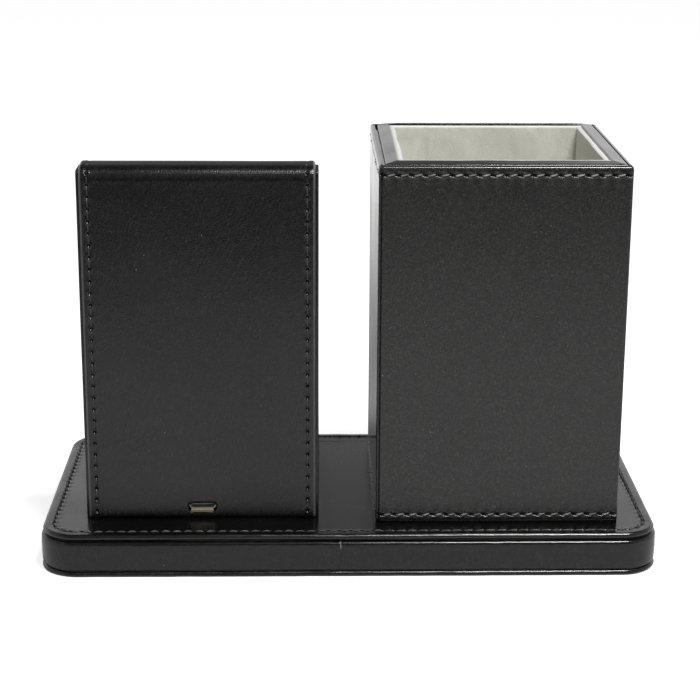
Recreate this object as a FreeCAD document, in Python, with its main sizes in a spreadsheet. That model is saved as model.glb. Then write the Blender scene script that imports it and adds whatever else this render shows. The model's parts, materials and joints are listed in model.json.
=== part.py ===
import FreeCAD, Part
import Sketcher
import math
import os
import re

# Desk set in black leathercloth: a flat base that carries a lined pen cup and a wedge-shaped
# phone stand with a charging coil behind its front face and a USB-C socket in its back.
# Millimetres. Origin under the middle of the base, +Z up, the stand's back faces -Y.

SIZES = {
    # base: bottom cover, board inside its edge band, top pad
    "base_width": 200,
    "base_depth": 100,
    "base_corner": 12,
    "bottom_cover": 1.8,
    "base_board": 10.4,
    "band_thickness": 1.2,
    "band_groove": 0.3,
    "band_roll": 0.5,
    "seam_width": 0.3,
    "seam_offset": -3,
    "top_pad": 2,
    "pad_roll": 0.9,
    # pen cup: boards, leather skins outside, leather rims on top, velvet lining inside
    "cup_x": 48,
    "cup_y": 1,
    "cup_width": 79,
    "cup_depth": 79,
    "cup_height": 117.6,
    "cup_skin": 1.3,
    "cup_wall": 5,
    "cup_floor": 4,
    "cup_lining": 1.7,
    "skin_gap": 0.2,
    "skin_roll": 0.5,
    "rim_thickness": 1,
    "rim_groove": 0.4,
    "rim_drop": 0.2,
    "rim_roll": 0.4,
    "lining_drop": 0.6,
    "lining_roll": 0.7,
    # phone stand: boards, one cover folded over back, ridge and front, a skin on each side
    "stand_x": -48,
    "stand_y": -33.7,
    "stand_width": 76,
    "stand_height": 116,
    "stand_lean": 2.4,
    "stand_ridge": 13,
    "stand_foot": 54,
    "stand_cover": 1.4,
    "fold_radius": 3,
    "hem_roll": 0.8,
    "stand_skin": 1,
    "stand_side": 3,
    "stand_rear": 3,
    "stand_front": 3,
    "stand_floor": 2.5,
    "stand_rail": 8,
    # ledge that the phone stands on
    "ledge_depth": 20,
    "shelf_height": 6,
    "shelf_step": 0.3,
    "lip_thickness": 4,
    "lip_height": 13,
    "lip_roll": 1.6,
    # USB-C socket in the back of the stand, its cut-out and its circuit board
    "port_height": 4.3,
    "port_drop": 0.5,
    "port_width": 9.4,
    "port_tall": 4.4,
    "port_corner": 1.5,
    "port_recess": 0.8,
    "usb_width": 8.94,
    "usb_tall": 3.16,
    "usb_length": 7.35,
    "usb_wall": 0.3,
    "tongue_width": 6.69,
    "tongue_thickness": 0.7,
    "tongue_length": 4.45,
    "circuit_width": 40,
    "circuit_depth": 34,
    "circuit_thickness": 1.6,
    "circuit_gap": 0.3,
    "chip_size": 7,
    "chip_tall": 1,
    "capacitor_length": 5.7,
    "capacitor_width": 5,
    "capacitor_tall": 2.5,
    "capacitor_count": 3,
    "capacitor_step": 7.5,
    # charging coil, the notched ferrite sheet behind it and its two leads
    "coil_height": 66,
    "coil_inner": 11,
    "coil_turns": 5,
    "coil_pitch": 2,
    "coil_wire": 1.4,
    "shield_size": 48,
    "shield_thickness": 1.5,
    "lead_diameter": 1.2,
    "lead_spacing": 3,
    # countersunk screws up through the base and pan-head screws that hold the circuit board, in pairs
    "screw_shank": 3,
    "screw_head": 6,
    "screw_bite": 2,
    "fit_play": 0.1,
    "cup_screw_span": 44,
    "stand_screw_span": 54,
    "circuit_screw": 2,
    "circuit_screw_head": 3.8,
    "circuit_head_tall": 1.4,
    "circuit_screw_edge": 3.5,
    "spacer_diameter": 5,
}

DECK = "(bottom_cover + base_board + top_pad)"
STAND_TOP = f"({DECK} + stand_height)"
REAR_SLOPE = "(stand_lean / stand_height)"
FRONT_SLOPE = "((stand_foot - stand_lean - stand_ridge) / stand_height)"
FRONT_RUN = f"sqrt(1 + {FRONT_SLOPE}^2)"
SHELF_TOP = f"({DECK} + shelf_height)"
SOCKET_LEVEL = f"({DECK} + port_height)"
SCREW_LENGTH = "(base_board + top_pad + screw_bite)"
SCREW_HOLE = "(screw_shank + 2 * fit_play)"
CIRCUIT_UNDER = f"({SOCKET_LEVEL} - circuit_thickness / 2)"
CIRCUIT_TOP = f"({SOCKET_LEVEL} + circuit_thickness / 2)"
CIRCUIT_HOLE = "(circuit_screw + 2 * fit_play)"
CUP_INNER_WIDTH = "(cup_width - 2 * cup_skin - 2 * cup_wall)"
CUP_INNER_DEPTH = "(cup_depth - 2 * cup_skin - 2 * cup_wall)"
STAND_INNER_WIDTH = "(stand_width - 2 * stand_skin - 2 * stand_side)"
REAR_INNER = "(stand_cover + stand_rear)"
FRONT_INNER = "(stand_cover + stand_front)"
COIL_LEVEL = f"({DECK} + coil_height)"
COIL_REACH = "(coil_inner + (coil_turns - 0.5) * coil_pitch + coil_wire / 2)"

AXES = {"X": FreeCAD.Vector(1, 0, 0), "Y": FreeCAD.Vector(0, 1, 0), "Z": FreeCAD.Vector(0, 0, 1)}
NEAR = 0.001

doc = FreeCAD.newDocument("desk_set")
sheet = doc.addObject("Spreadsheet::Sheet", "Sizes")
for row, (alias, number) in enumerate(SIZES.items(), 1):
    sheet.set(f"A{row}", alias)
    sheet.set(f"B{row}", str(number))
    sheet.setAlias(f"B{row}", alias)
doc.recompute()
pieces = []


def cells(formula):
    """The formula with each size's name written as a cell of the sheet."""
    return re.sub(r"[a-z]\w+", lambda word: f"Sizes.{word[0]}" if word[0] in SIZES else word[0], formula)


def bind(item, name, formula):
    item.setExpression(name, cells(formula))


def place(item, x="0", y="0", z="0"):
    for axis, formula in zip("xyz", (x, y, z)):
        bind(item, f"Placement.Base.{axis}", formula)


def new_body(label):
    body = doc.addObject("PartDesign::Body", label)
    body.Label = label
    pieces.append(body)
    return body


def origin_feature(body, role):
    return next(item for item in body.Origin.OriginFeatures if item.Role == role)


def new_sketch(body, plane):
    sketch = body.newObject("Sketcher::SketchObject", f"{body.Name}_sketch")
    sketch.AttachmentSupport = [(origin_feature(body, f"{plane}_Plane"), "")]
    sketch.MapMode = "FlatFace"
    return sketch


def constrain(sketch, kind, arguments, formula):
    index = sketch.addConstraint(Sketcher.Constraint(kind, *arguments))
    bind(sketch, f"Constraints[{index}]", formula)


def add_polygon(sketch, corners):
    """A closed outline whose corners are tied one by one to the sketch's origin."""
    first = sketch.GeometryCount
    count = len(corners)
    turn = 2 * math.pi / count
    start = [FreeCAD.Vector(math.cos(turn * step), math.sin(turn * step), 0) for step in range(count)]
    for step in range(count):
        sketch.addGeometry(Part.LineSegment(start[step], start[(step + 1) % count]), False)
    for step in range(count):
        following = first + (step + 1) % count
        sketch.addConstraint(Sketcher.Constraint("Coincident", first + step, 2, following, 1))
    for step, (across, up) in enumerate(corners):
        constrain(sketch, "DistanceX", (-1, 1, first + step, 1, start[step].x), across)
        constrain(sketch, "DistanceY", (-1, 1, first + step, 1, start[step].y), up)


def add_rectangle(sketch, width, height, across="0", up="0"):
    """A rectangle about a middle point."""
    left, right = (f"{across} {sign} ({width}) / 2" for sign in "-+")
    low, high = (f"{up} {sign} ({height}) / 2" for sign in "-+")
    add_polygon(sketch, [(left, low), (right, low), (right, high), (left, high)])


def add_circle(sketch, diameter, across, up):
    number = sketch.addGeometry(Part.Circle(FreeCAD.Vector(), AXES["Z"], 1), False)
    constrain(sketch, "DistanceX", (-1, 1, number, 3, 0), across)
    constrain(sketch, "DistanceY", (-1, 1, number, 3, 0), up)
    constrain(sketch, "Diameter", (number, 2), diameter)


def add_slot(sketch, width, tall, up):
    """A flat-sided oblong with round ends, its middle at a height on the sketch's upright axis."""
    first = sketch.GeometryCount
    quarter = math.pi / 2
    for side in (-1, 1):
        middle = FreeCAD.Vector(2 * side, 0, 0)
        circle = Part.Circle(middle, AXES["Z"], 1)
        angles = (quarter, 3 * quarter) if side < 0 else (-quarter, quarter)
        number = sketch.addGeometry(Part.ArcOfCircle(circle, *angles), False)
        sketch.addConstraint(Sketcher.Constraint("Vertical", number, 1, number, 3))
        sketch.addConstraint(Sketcher.Constraint("Vertical", number, 2, number, 3))
        constrain(sketch, "DistanceX", (-1, 1, number, 3, middle.x), f"{side} * ({width} - {tall}) / 2")
        constrain(sketch, "DistanceY", (-1, 1, number, 3, 0), up)
        constrain(sketch, "Radius", (number, 1), f"{tall} / 2")
    for level, (start, finish) in ((-1, (first, first + 1)), (1, (first + 1, first))):
        line = Part.LineSegment(FreeCAD.Vector(2 * level, level, 0), FreeCAD.Vector(-2 * level, level, 0))
        number = sketch.addGeometry(line, False)
        sketch.addConstraint(Sketcher.Constraint("Coincident", start, 2, number, 1))
        sketch.addConstraint(Sketcher.Constraint("Coincident", number, 2, finish, 1))


def pad(body, sketch, length, symmetric=False, backward=False):
    feature = body.newObject("PartDesign::Pad", f"{body.Name}_pad")
    feature.Profile = sketch
    bind(feature, "Length", length)
    feature.SideType = "Symmetric" if symmetric else "One side"
    feature.Reversed = backward
    doc.recompute()
    return feature


def pocket(body, sketch, length, symmetric=False, backward=False):
    """A cut from the sketch's plane, which has to take material away."""
    before = body.Shape.Volume
    feature = body.newObject("PartDesign::Pocket", f"{body.Name}_pocket")
    feature.Profile = sketch
    bind(feature, "Length", length)
    feature.SideType = "Symmetric" if symmetric else "One side"
    feature.Reversed = backward
    doc.recompute()
    if before - body.Shape.Volume < NEAR:
        raise ValueError(f"{feature.Name} cuts nothing")
    return feature


def edge_points(edge):
    first, last = edge.ParameterRange
    return [edge.valueAt(first + part * (last - first)) for part in (0, 0.5, 1)]


def edges_on(body, axis, end):
    """Edges that lie in one end plane of the body so far: end is min or max."""
    shape = body.Tip.Shape
    level = end(vertex.Point.dot(AXES[axis]) for vertex in shape.Vertexes)
    found = []
    for number, edge in enumerate(shape.Edges, 1):
        if all(abs(point.dot(AXES[axis]) - level) < NEAR for point in edge_points(edge)):
            found.append(f"Edge{number}")
    return found


def edges_along(body, axis):
    """Straight edges that run along an axis."""
    found = []
    for number, edge in enumerate(body.Tip.Shape.Edges, 1):
        straight = edge.Curve.TypeId == "Part::GeomLine"
        if straight and edge.Curve.Direction.cross(AXES[axis]).Length < NEAR:
            found.append(f"Edge{number}")
    return found


def both(first, second):
    return [name for name in first if name in second]


def middle_of(body, name):
    """The point halfway along a named edge."""
    return edge_points(body.Tip.Shape.getElement(name))[1]


def edges_at_reach(body, names):
    """The edges among those named that lie furthest out along X."""
    places = {name: abs(middle_of(body, name).x) for name in names}
    reach = max(places.values())
    return [name for name in names if reach - places[name] < NEAR]


def outer_loop(body, names):
    """The edges among those named that run round the outside of a ring."""
    across = max(abs(middle_of(body, name).x) for name in names)
    along = max(abs(middle_of(body, name).y) for name in names)
    found = []
    for name in names:
        point = middle_of(body, name)
        curve = body.Tip.Shape.getElement(name).Curve
        if curve.TypeId == "Part::GeomCircle":
            outside = abs(curve.Radius - sheet.base_corner) < NEAR
        else:
            outside = min(across - abs(point.x), along - abs(point.y)) < NEAR
        if outside:
            found.append(name)
    return found


def round_edges(body, names, radius):
    feature = body.newObject("PartDesign::Fillet", f"{body.Name}_fillet")
    feature.Base = (body.Tip if body.Tip != feature else feature.BaseFeature, names)
    bind(feature, "Radius", radius)
    doc.recompute()
    return feature


def rounded_plate(label, width, depth, corner, thickness, level):
    """A flat piece with round corners in plan, centred on the origin."""
    body = new_body(label)
    sketch = new_sketch(body, "XY")
    add_rectangle(sketch, width, depth)
    pad(body, sketch, thickness)
    round_edges(body, edges_along(body, "Z"), corner)
    place(body, z=level)
    return body


def pair_across(span, x, y):
    """Plan positions of two screws, level with each other, on both sides of a middle."""
    return [(f"{x} {sign} {span} / 2", y) for sign in "-+"]


def rear_line(level, inset="0"):
    """Y of the stand's back at a height, moved square into the stand by an inset."""
    return f"(stand_y + {REAR_SLOPE} * ({level} - {DECK}) + ({inset}) * sqrt(1 + {REAR_SLOPE}^2))"


def front_line(level, inset="0"):
    """Y of the stand's front at a height, moved square into the stand by an inset."""
    foot = "stand_y + stand_foot"
    return f"({foot} - {FRONT_SLOPE} * ({level} - {DECK}) - ({inset}) * {FRONT_RUN})"


STAND_SCREW_MIDDLE = f"({rear_line(DECK, REAR_INNER)} + {front_line(DECK, FRONT_INNER)}) / 2"
CIRCUIT_REAR = f"({rear_line(SOCKET_LEVEL, REAR_INNER)} + circuit_gap)"
CIRCUIT_MIDDLE = f"({CIRCUIT_REAR} + circuit_depth / 2)"
CIRCUIT_SCREW_SPAN = "(circuit_width - 2 * circuit_screw_edge)"
CUP_SCREWS = pair_across("cup_screw_span", "cup_x", "cup_y")
STAND_SCREWS = pair_across("stand_screw_span", "stand_x", STAND_SCREW_MIDDLE)
CIRCUIT_SCREWS = pair_across(CIRCUIT_SCREW_SPAN, "0", CIRCUIT_MIDDLE)


def build_base():
    rounded_plate("base_bottom_cover", "base_width", "base_depth", "base_corner", "bottom_cover", "0")

    inner_width = "(base_width - 2 * band_thickness)"
    inner_depth = "(base_depth - 2 * band_thickness)"
    inner_corner = "(base_corner - band_thickness)"
    board = rounded_plate("base_board", inner_width, inner_depth, inner_corner, "base_board", "bottom_cover")
    holes = new_sketch(board, "XY")
    for x, y in CUP_SCREWS + STAND_SCREWS:
        add_circle(holes, SCREW_HOLE, x, y)
    doc.recompute()
    bore = board.newObject("PartDesign::Hole", "base_board_holes")
    bore.Profile = holes
    doc.recompute()
    bore.Reversed = True
    bore.DepthType = "ThroughAll"
    bind(bore, "Diameter", SCREW_HOLE)
    bore.HoleCutType = "Countersink"
    bind(bore, "HoleCutDiameter", "screw_head + 2 * fit_play")
    bore.HoleCutCountersinkAngle = 90
    doc.recompute()

    band = new_body("base_edge_band")
    outline = new_sketch(band, "XY")
    add_rectangle(outline, "base_width", "base_depth")
    add_rectangle(outline, inner_width, inner_depth)
    pad(band, outline, "base_board - 2 * band_groove")
    outer = edges_at_reach(band, edges_along(band, "Z"))
    inner = [name for name in edges_along(band, "Z") if name not in outer]
    round_edges(band, inner, inner_corner)
    round_edges(band, edges_at_reach(band, edges_along(band, "Z")), "base_corner")
    round_edges(band, outer_loop(band, edges_on(band, "Z", max)), "band_roll")
    seam = new_sketch(band, "XY")
    add_rectangle(seam, "seam_width", "4 * band_thickness", "seam_offset", "-base_depth / 2")
    pocket(band, seam, "base_board", backward=True)
    place(band, z="bottom_cover + band_groove")

    level = "bottom_cover + base_board"
    top = rounded_plate("base_top_pad", "base_width", "base_depth", "base_corner", "top_pad", level)
    round_edges(top, edges_on(top, "Z", max), "pad_roll")
    holes = new_sketch(top, "XY")
    for x, y in CUP_SCREWS + STAND_SCREWS:
        add_circle(holes, SCREW_HOLE, x, y)
    pocket(top, holes, "top_pad", backward=True)


# name, the way that the side faces, its size across, the size from side to side, laps its neighbours
CUP_SIDES = (
    ("rear", (0, -1), "cup_width", "cup_depth", True),
    ("right", (1, 0), "cup_depth", "cup_width", False),
    ("front", (0, 1), "cup_width", "cup_depth", True),
    ("left", (-1, 0), "cup_depth", "cup_width", False),
)


def face_out(body, facing, level):
    """Turn a piece that was drawn for the cup's rear to face another way, about the cup's middle."""
    turn = math.degrees(math.atan2(facing[0], -facing[1]))
    body.Placement = FreeCAD.Placement(FreeCAD.Vector(), FreeCAD.Rotation(AXES["Z"], turn))
    place(body, "cup_x", "cup_y", level)


def cup_panel(label, facing, length, outer, inner, height, level):
    """An upright panel of the cup between two distances from the cup's middle."""
    body = new_body(label)
    sketch = new_sketch(body, "XY")
    half = f"({length}) / 2"
    add_polygon(sketch, [(f"-{half}", f"-({outer})"), (half, f"-({outer})"),
                         (half, f"-({inner})"), (f"-{half}", f"-({inner})")])
    pad(body, sketch, height)
    face_out(body, facing, level)
    return body


def build_cup():
    floor = new_body("cup_floor_board")
    sketch = new_sketch(floor, "XY")
    add_rectangle(sketch, CUP_INNER_WIDTH, CUP_INNER_DEPTH)
    pad(floor, sketch, "cup_floor")
    pilots = new_sketch(floor, "XY")
    for x, y in pair_across("cup_screw_span", "0", "0"):
        add_circle(pilots, SCREW_HOLE, x, y)
    pocket(floor, pilots, "screw_bite + fit_play", backward=True)
    place(floor, "cup_x", "cup_y", DECK)

    carpet = new_body("cup_floor_lining")
    sketch = new_sketch(carpet, "XY")
    add_rectangle(sketch, f"{CUP_INNER_WIDTH} - 2 * cup_lining", f"{CUP_INNER_DEPTH} - 2 * cup_lining")
    pad(carpet, sketch, "cup_lining")
    place(carpet, "cup_x", "cup_y", f"{DECK} + cup_floor")

    for name, facing, across, span, overlaps in CUP_SIDES:
        half = f"{span} / 2"
        back = f"{half} - cup_skin"
        face = f"{back} - cup_wall"
        length = across if overlaps else f"{across} - 2 * cup_skin - 2 * skin_gap"
        skin = cup_panel(f"cup_{name}_skin", facing, length, half, back, "cup_height", DECK)
        round_edges(skin, edges_on(skin, "Y", min), "skin_roll")

        length = f"{across} - 2 * cup_skin" if overlaps else f"{across} - 2 * cup_skin - 2 * cup_wall"
        height = "cup_height - rim_drop - rim_thickness"
        cup_panel(f"cup_{name}_board", facing, length, back, face, height, DECK)

        rim = new_body(f"cup_{name}_rim")
        sketch = new_sketch(rim, "XY")
        outer = f"{back} - rim_groove"
        wide, narrow = (f"({across} / 2 - {half} + {edge})" for edge in (outer, face))
        add_polygon(sketch, [(f"-{wide}", f"-({outer})"), (wide, f"-({outer})"),
                             (narrow, f"-({face})"), (f"-{narrow}", f"-({face})")])
        pad(rim, sketch, "rim_thickness")
        lengthwise = both(edges_on(rim, "Z", max), edges_along(rim, "X"))
        round_edges(rim, lengthwise, "rim_roll")
        face_out(rim, facing, f"{DECK} + cup_height - rim_drop - rim_thickness")

        length = f"{across} - 2 * cup_skin - 2 * cup_wall"
        if not overlaps:
            length = f"{length} - 2 * cup_lining"
        height = "cup_height - cup_floor - lining_drop"
        lining = cup_panel(f"cup_{name}_lining", facing, length, face, f"{face} - cup_lining", height,
                           f"{DECK} + cup_floor")
        crest = both(edges_on(lining, "Z", max), edges_along(lining, "X"))
        round_edges(lining, crest, "lining_roll")


def stand_prism(label, corners, width, x="stand_x"):
    """A side outline drawn out across the stand, about a middle plane."""
    body = new_body(label)
    sketch = new_sketch(body, "YZ")
    add_polygon(sketch, corners)
    pad(body, sketch, width, symmetric=True)
    place(body, x)
    return body


def ridge_edges(body):
    """The two edges along the top of a piece of the stand."""
    return both(edges_on(body, "Z", max), edges_along(body, "X"))


def rear_edge(body, names):
    """The edge along X, among those named, that lies furthest to the back."""
    crosswise = both(names, edges_along(body, "X"))
    return [min(crosswise, key=lambda name: middle_of(body, name).y)]


def cut_port(body):
    """The socket's cut-out with round corners through a back wall."""
    sketch = new_sketch(body, "XZ")
    add_rectangle(sketch, "port_width", "port_tall", up=f"{SOCKET_LEVEL} - port_drop")
    bind(sketch, "AttachmentOffset.Base.z", f"-{rear_line(SOCKET_LEVEL)}")
    pocket(body, sketch, f"4 * {REAR_INNER}", symmetric=True)
    foot = edges_on(body, "Z", min)
    corners = [name for name in edges_along(body, "Y")
               if name not in foot and abs(middle_of(body, name).x) < sheet.port_width]
    round_edges(body, corners, "port_corner")


def build_stand():
    inner_fold = "(fold_radius - stand_cover)"
    core_top = f"({STAND_TOP} - stand_cover)"
    core = [
        (rear_line(DECK, "stand_cover"), DECK), (front_line(DECK, "stand_cover"), DECK),
        (front_line(core_top, "stand_cover"), core_top), (rear_line(core_top, "stand_cover"), core_top),
    ]

    cover = stand_prism("stand_cover", [
        (rear_line(DECK), DECK), (rear_line(DECK, "stand_cover"), DECK),
        (rear_line(core_top, "stand_cover"), core_top), (front_line(core_top, "stand_cover"), core_top),
        (front_line(SHELF_TOP, "stand_cover"), SHELF_TOP), (front_line(SHELF_TOP), SHELF_TOP),
        (front_line(STAND_TOP), STAND_TOP), (rear_line(STAND_TOP), STAND_TOP),
    ], "stand_width - 2 * stand_skin")
    below = [name for name in edges_along(cover, "X") if name not in ridge_edges(cover)]
    below.sort(key=lambda name: middle_of(cover, name).z)
    round_edges(cover, below[-2:], inner_fold)
    round_edges(cover, ridge_edges(cover), "fold_radius")
    round_edges(cover, rear_edge(cover, edges_on(cover, "Z", min)), "hem_roll")
    cut_port(cover)

    for side, name in ((-1, "left"), (1, "right")):
        x = f"stand_x + {side} * (stand_width - stand_skin) / 2"
        skin = stand_prism(f"stand_{name}_skin", core, "stand_skin", x)
        round_edges(skin, ridge_edges(skin), inner_fold)
        x = f"stand_x + {side} * (stand_width / 2 - stand_skin - stand_side / 2)"
        board = stand_prism(f"stand_{name}_board", core, "stand_side", x)
        round_edges(board, ridge_edges(board), inner_fold)

    rear = stand_prism("stand_rear_board", [
        (rear_line(DECK, "stand_cover"), DECK), (rear_line(DECK, REAR_INNER), DECK),
        (rear_line(core_top, REAR_INNER), core_top), (rear_line(core_top, "stand_cover"), core_top),
    ], STAND_INNER_WIDTH)
    round_edges(rear, rear_edge(rear, ridge_edges(rear)), inner_fold)
    cut_port(rear)

    front = stand_prism("stand_front_board", [
        (front_line(DECK, FRONT_INNER), DECK), (front_line(DECK, "stand_cover"), DECK),
        (front_line(core_top, "stand_cover"), core_top), (front_line(core_top, FRONT_INNER), core_top),
    ], STAND_INNER_WIDTH)
    behind = rear_edge(front, ridge_edges(front))
    round_edges(front, [name for name in ridge_edges(front) if name not in behind], inner_fold)

    rail_foot = f"({core_top} - stand_rail)"
    stand_prism("stand_top_rail", [
        (rear_line(rail_foot, REAR_INNER), rail_foot), (front_line(rail_foot, FRONT_INNER), rail_foot),
        (front_line(core_top, FRONT_INNER), core_top), (rear_line(core_top, REAR_INNER), core_top),
    ], STAND_INNER_WIDTH)

    floor_top = f"({DECK} + stand_floor)"
    floor = stand_prism("stand_floor_board", [
        (rear_line(DECK, REAR_INNER), DECK), (front_line(DECK, FRONT_INNER), DECK),
        (front_line(floor_top, FRONT_INNER), floor_top), (rear_line(floor_top, REAR_INNER), floor_top),
    ], STAND_INNER_WIDTH)
    pilots = new_sketch(floor, "XY")
    for x, y in pair_across("stand_screw_span", "0", STAND_SCREW_MIDDLE):
        add_circle(pilots, SCREW_HOLE, x, y)
    bind(pilots, "AttachmentOffset.Base.z", DECK)
    pocket(floor, pilots, "screw_bite + fit_play", backward=True)
    pilots = new_sketch(floor, "XY")
    for x, y in CIRCUIT_SCREWS:
        add_circle(pilots, CIRCUIT_HOLE, x, y)
    bind(pilots, "AttachmentOffset.Base.z", floor_top)
    pocket(floor, pilots, "screw_bite + fit_play")

    lip_back = "(stand_y + stand_foot + ledge_depth - lip_thickness)"
    lip_front = "(stand_y + stand_foot + ledge_depth)"
    step = f"({SHELF_TOP} - shelf_step)"
    stand_prism("phone_shelf", [
        (front_line(DECK, "stand_cover"), DECK), (lip_back, DECK), (lip_back, SHELF_TOP),
        (front_line(SHELF_TOP), SHELF_TOP), (front_line(SHELF_TOP), step),
        (front_line(step, "stand_cover"), step),
    ], "stand_width")
    lip_top = f"({DECK} + lip_height)"
    lip = stand_prism("phone_lip", [
        (lip_back, DECK), (lip_front, DECK), (lip_front, lip_top), (lip_back, lip_top),
    ], "stand_width")
    round_edges(lip, ridge_edges(lip), "lip_roll")


def build_charger():
    shell_front = f"({rear_line(SOCKET_LEVEL)} + port_recess)"
    shell = new_body("usb_c_shell")
    sketch = new_sketch(shell, "XZ")
    add_slot(sketch, "usb_width", "usb_tall", "0")
    add_slot(sketch, "(usb_width - 2 * usb_wall)", "(usb_tall - 2 * usb_wall)", "0")
    pad(shell, sketch, "usb_length", backward=True)
    place(shell, "stand_x", shell_front, SOCKET_LEVEL)

    tongue = new_body("usb_c_tongue")
    sketch = new_sketch(tongue, "XZ")
    add_slot(sketch, "(usb_width - 2 * usb_wall)", "(usb_tall - 2 * usb_wall)", "0")
    bind(sketch, "AttachmentOffset.Base.z", "-usb_length")
    pad(tongue, sketch, "usb_length - tongue_length - port_recess")
    blade = new_sketch(tongue, "XZ")
    add_rectangle(blade, "tongue_width", "tongue_thickness")
    bind(blade, "AttachmentOffset.Base.z", "-usb_length")
    pad(tongue, blade, "usb_length - port_recess")
    place(tongue, "stand_x", shell_front, SOCKET_LEVEL)

    circuit = new_body("charger_board")
    sketch = new_sketch(circuit, "XY")
    add_rectangle(sketch, "circuit_width", "circuit_depth", "0", CIRCUIT_MIDDLE)
    for x, y in CIRCUIT_SCREWS:
        add_circle(sketch, CIRCUIT_HOLE, x, y)
    pad(circuit, sketch, "circuit_thickness")
    notch = new_sketch(circuit, "XY")
    notch_depth = f"({shell_front} + usb_length + fit_play - {CIRCUIT_REAR})"
    add_rectangle(notch, "usb_width + 2 * fit_play", f"2 * {notch_depth}", "0", CIRCUIT_REAR)
    pocket(circuit, notch, "circuit_thickness", backward=True)
    place(circuit, "stand_x", z=CIRCUIT_UNDER)

    spacers = turned_pair("board_spacers", spacer_sketch, CIRCUIT_SCREW_SPAN)
    screws = turned_pair("board_screws", circuit_screw_sketch, CIRCUIT_SCREW_SPAN)
    for item, level in ((spacers, f"{DECK} + stand_floor"), (screws, CIRCUIT_TOP)):
        place(item, f"stand_x - {CIRCUIT_SCREW_SPAN} / 2", CIRCUIT_MIDDLE, level)

    chips = new_body("charger_chips")
    sketch = new_sketch(chips, "XY")
    add_rectangle(sketch, "chip_size", "chip_size", "0", CIRCUIT_MIDDLE)
    pad(chips, sketch, "chip_tall")
    row = new_sketch(chips, "XY")
    capacitor_span = "((capacitor_count - 1) * capacitor_step)"
    add_rectangle(row, "capacitor_length", "capacitor_width", f"-{capacitor_span} / 2",
                  f"{CIRCUIT_MIDDLE} - chip_size / 2 - capacitor_width")
    block = pad(chips, row, "capacitor_tall")
    repeat_across(chips, block, capacitor_span, "capacitor_count")
    place(chips, "stand_x", z=CIRCUIT_TOP)

    shield = new_body("coil_shield")
    sketch = new_sketch(shield, "XY")
    half, notch = "shield_size / 2", "((lead_spacing + lead_diameter) / 2 + fit_play)"
    notch_top = f"-({COIL_REACH} - coil_wire)"
    add_polygon(sketch, [
        (f"-{half}", f"-{half}"), (f"-{notch}", f"-{half}"), (f"-{notch}", notch_top), (notch, notch_top),
        (notch, f"-{half}"), (half, f"-{half}"), (half, half), (f"-{half}", half),
    ])
    bind(sketch, "AttachmentOffset.Base.z", "coil_wire")
    pad(shield, sketch, "shield_thickness")
    stand_on_front(shield)

    coil = doc.addObject("Part::Feature", "charger_coil")
    coil.Label = "charger_coil"
    pieces.append(coil)
    coil.Shape = coil_winding()
    stand_on_front(coil)

    leads = new_body("coil_leads")
    sketch = new_sketch(leads, "XY")
    add_circle(sketch, "lead_diameter", "0", "0")
    lead_top = f"({COIL_LEVEL} - ({COIL_REACH} + coil_wire * {FRONT_SLOPE}) / {FRONT_RUN})"
    wire = pad(leads, sketch, f"{lead_top} - {CIRCUIT_TOP}")
    repeat_across(leads, wire, "lead_spacing")
    below_coil = f"({COIL_REACH} * {FRONT_SLOPE} - coil_wire / 2) / {FRONT_RUN}"
    place(leads, "stand_x - lead_spacing / 2",
          f"{front_line(COIL_LEVEL, FRONT_INNER)} + {below_coil}", CIRCUIT_TOP)


def stand_on_front(item):
    """Lay a piece drawn flat against the inner face of the stand's front board."""
    item.Placement = FreeCAD.Placement(FreeCAD.Vector(), FreeCAD.Rotation(AXES["X"], 90))
    bind(item, "Placement.Rotation.Angle", f"90 deg + atan({FRONT_SLOPE})")
    place(item, "stand_x", front_line(COIL_LEVEL, FRONT_INNER), COIL_LEVEL)


def half_turns():
    """Middle and radius of each half turn of the coil, growing by half a pitch each time."""
    step = sheet.coil_pitch / 2
    for number in range(2 * int(sheet.coil_turns)):
        yield number % 2 * step, sheet.coil_inner + number * step, 1 if number % 2 == 0 else -1


def coil_winding():
    """A flat spiral of square wire, drawn through half circles about two middles."""
    half = sheet.coil_wire / 2
    arcs = []
    for middle, radius, side in half_turns():
        corners = [FreeCAD.Vector(middle + side * radius, 0, half),
                   FreeCAD.Vector(middle, side * radius, half),
                   FreeCAD.Vector(middle - side * radius, 0, half)]
        arcs.append(Part.Arc(*corners).toShape())
    path = Part.Wire(arcs)
    start = sheet.coil_inner
    section = Part.makePolygon([FreeCAD.Vector(start + i * half, 0, half + j * half)
                                for i, j in ((-1, -1), (1, -1), (1, 1), (-1, 1), (-1, -1))])
    winding = path.makePipeShell([section], True, False)
    points = path.discretize(Number=40 * int(sheet.coil_turns))
    around = math.pi * sheet.coil_inner
    spacing = path.Length / (len(points) - 1)
    apart = min(points[i].distanceToPoint(points[j]) for i in range(len(points))
                for j in range(i + 1, len(points)) if (j - i) * spacing > around)
    print(f"coil: {int(sheet.coil_turns)} turns, least gap {apart - sheet.coil_wire:.2f} mm")
    return winding


def spacer_sketch(sketch):
    inner, outer = f"{CIRCUIT_HOLE} / 2", "spacer_diameter / 2"
    tall = "port_height - circuit_thickness / 2 - stand_floor"
    add_polygon(sketch, [(inner, "0"), (outer, "0"), (outer, tall), (inner, tall)])


def circuit_screw_sketch(sketch):
    shank, head = "circuit_screw / 2", "circuit_screw_head / 2"
    tip = "-(port_height + circuit_thickness / 2 - stand_floor + screw_bite)"
    add_polygon(sketch, [("0", tip), (shank, tip), (shank, "0"), (head, "0"),
                         (head, "circuit_head_tall"), ("0", "circuit_head_tall")])


def base_screw_sketch(sketch):
    shank, head = "screw_shank / 2", "screw_head / 2"
    cone = f"({head} - {shank})"
    add_polygon(sketch, [("0", "0"), (head, "0"), (shank, cone), (shank, SCREW_LENGTH), ("0", SCREW_LENGTH)])


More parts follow.
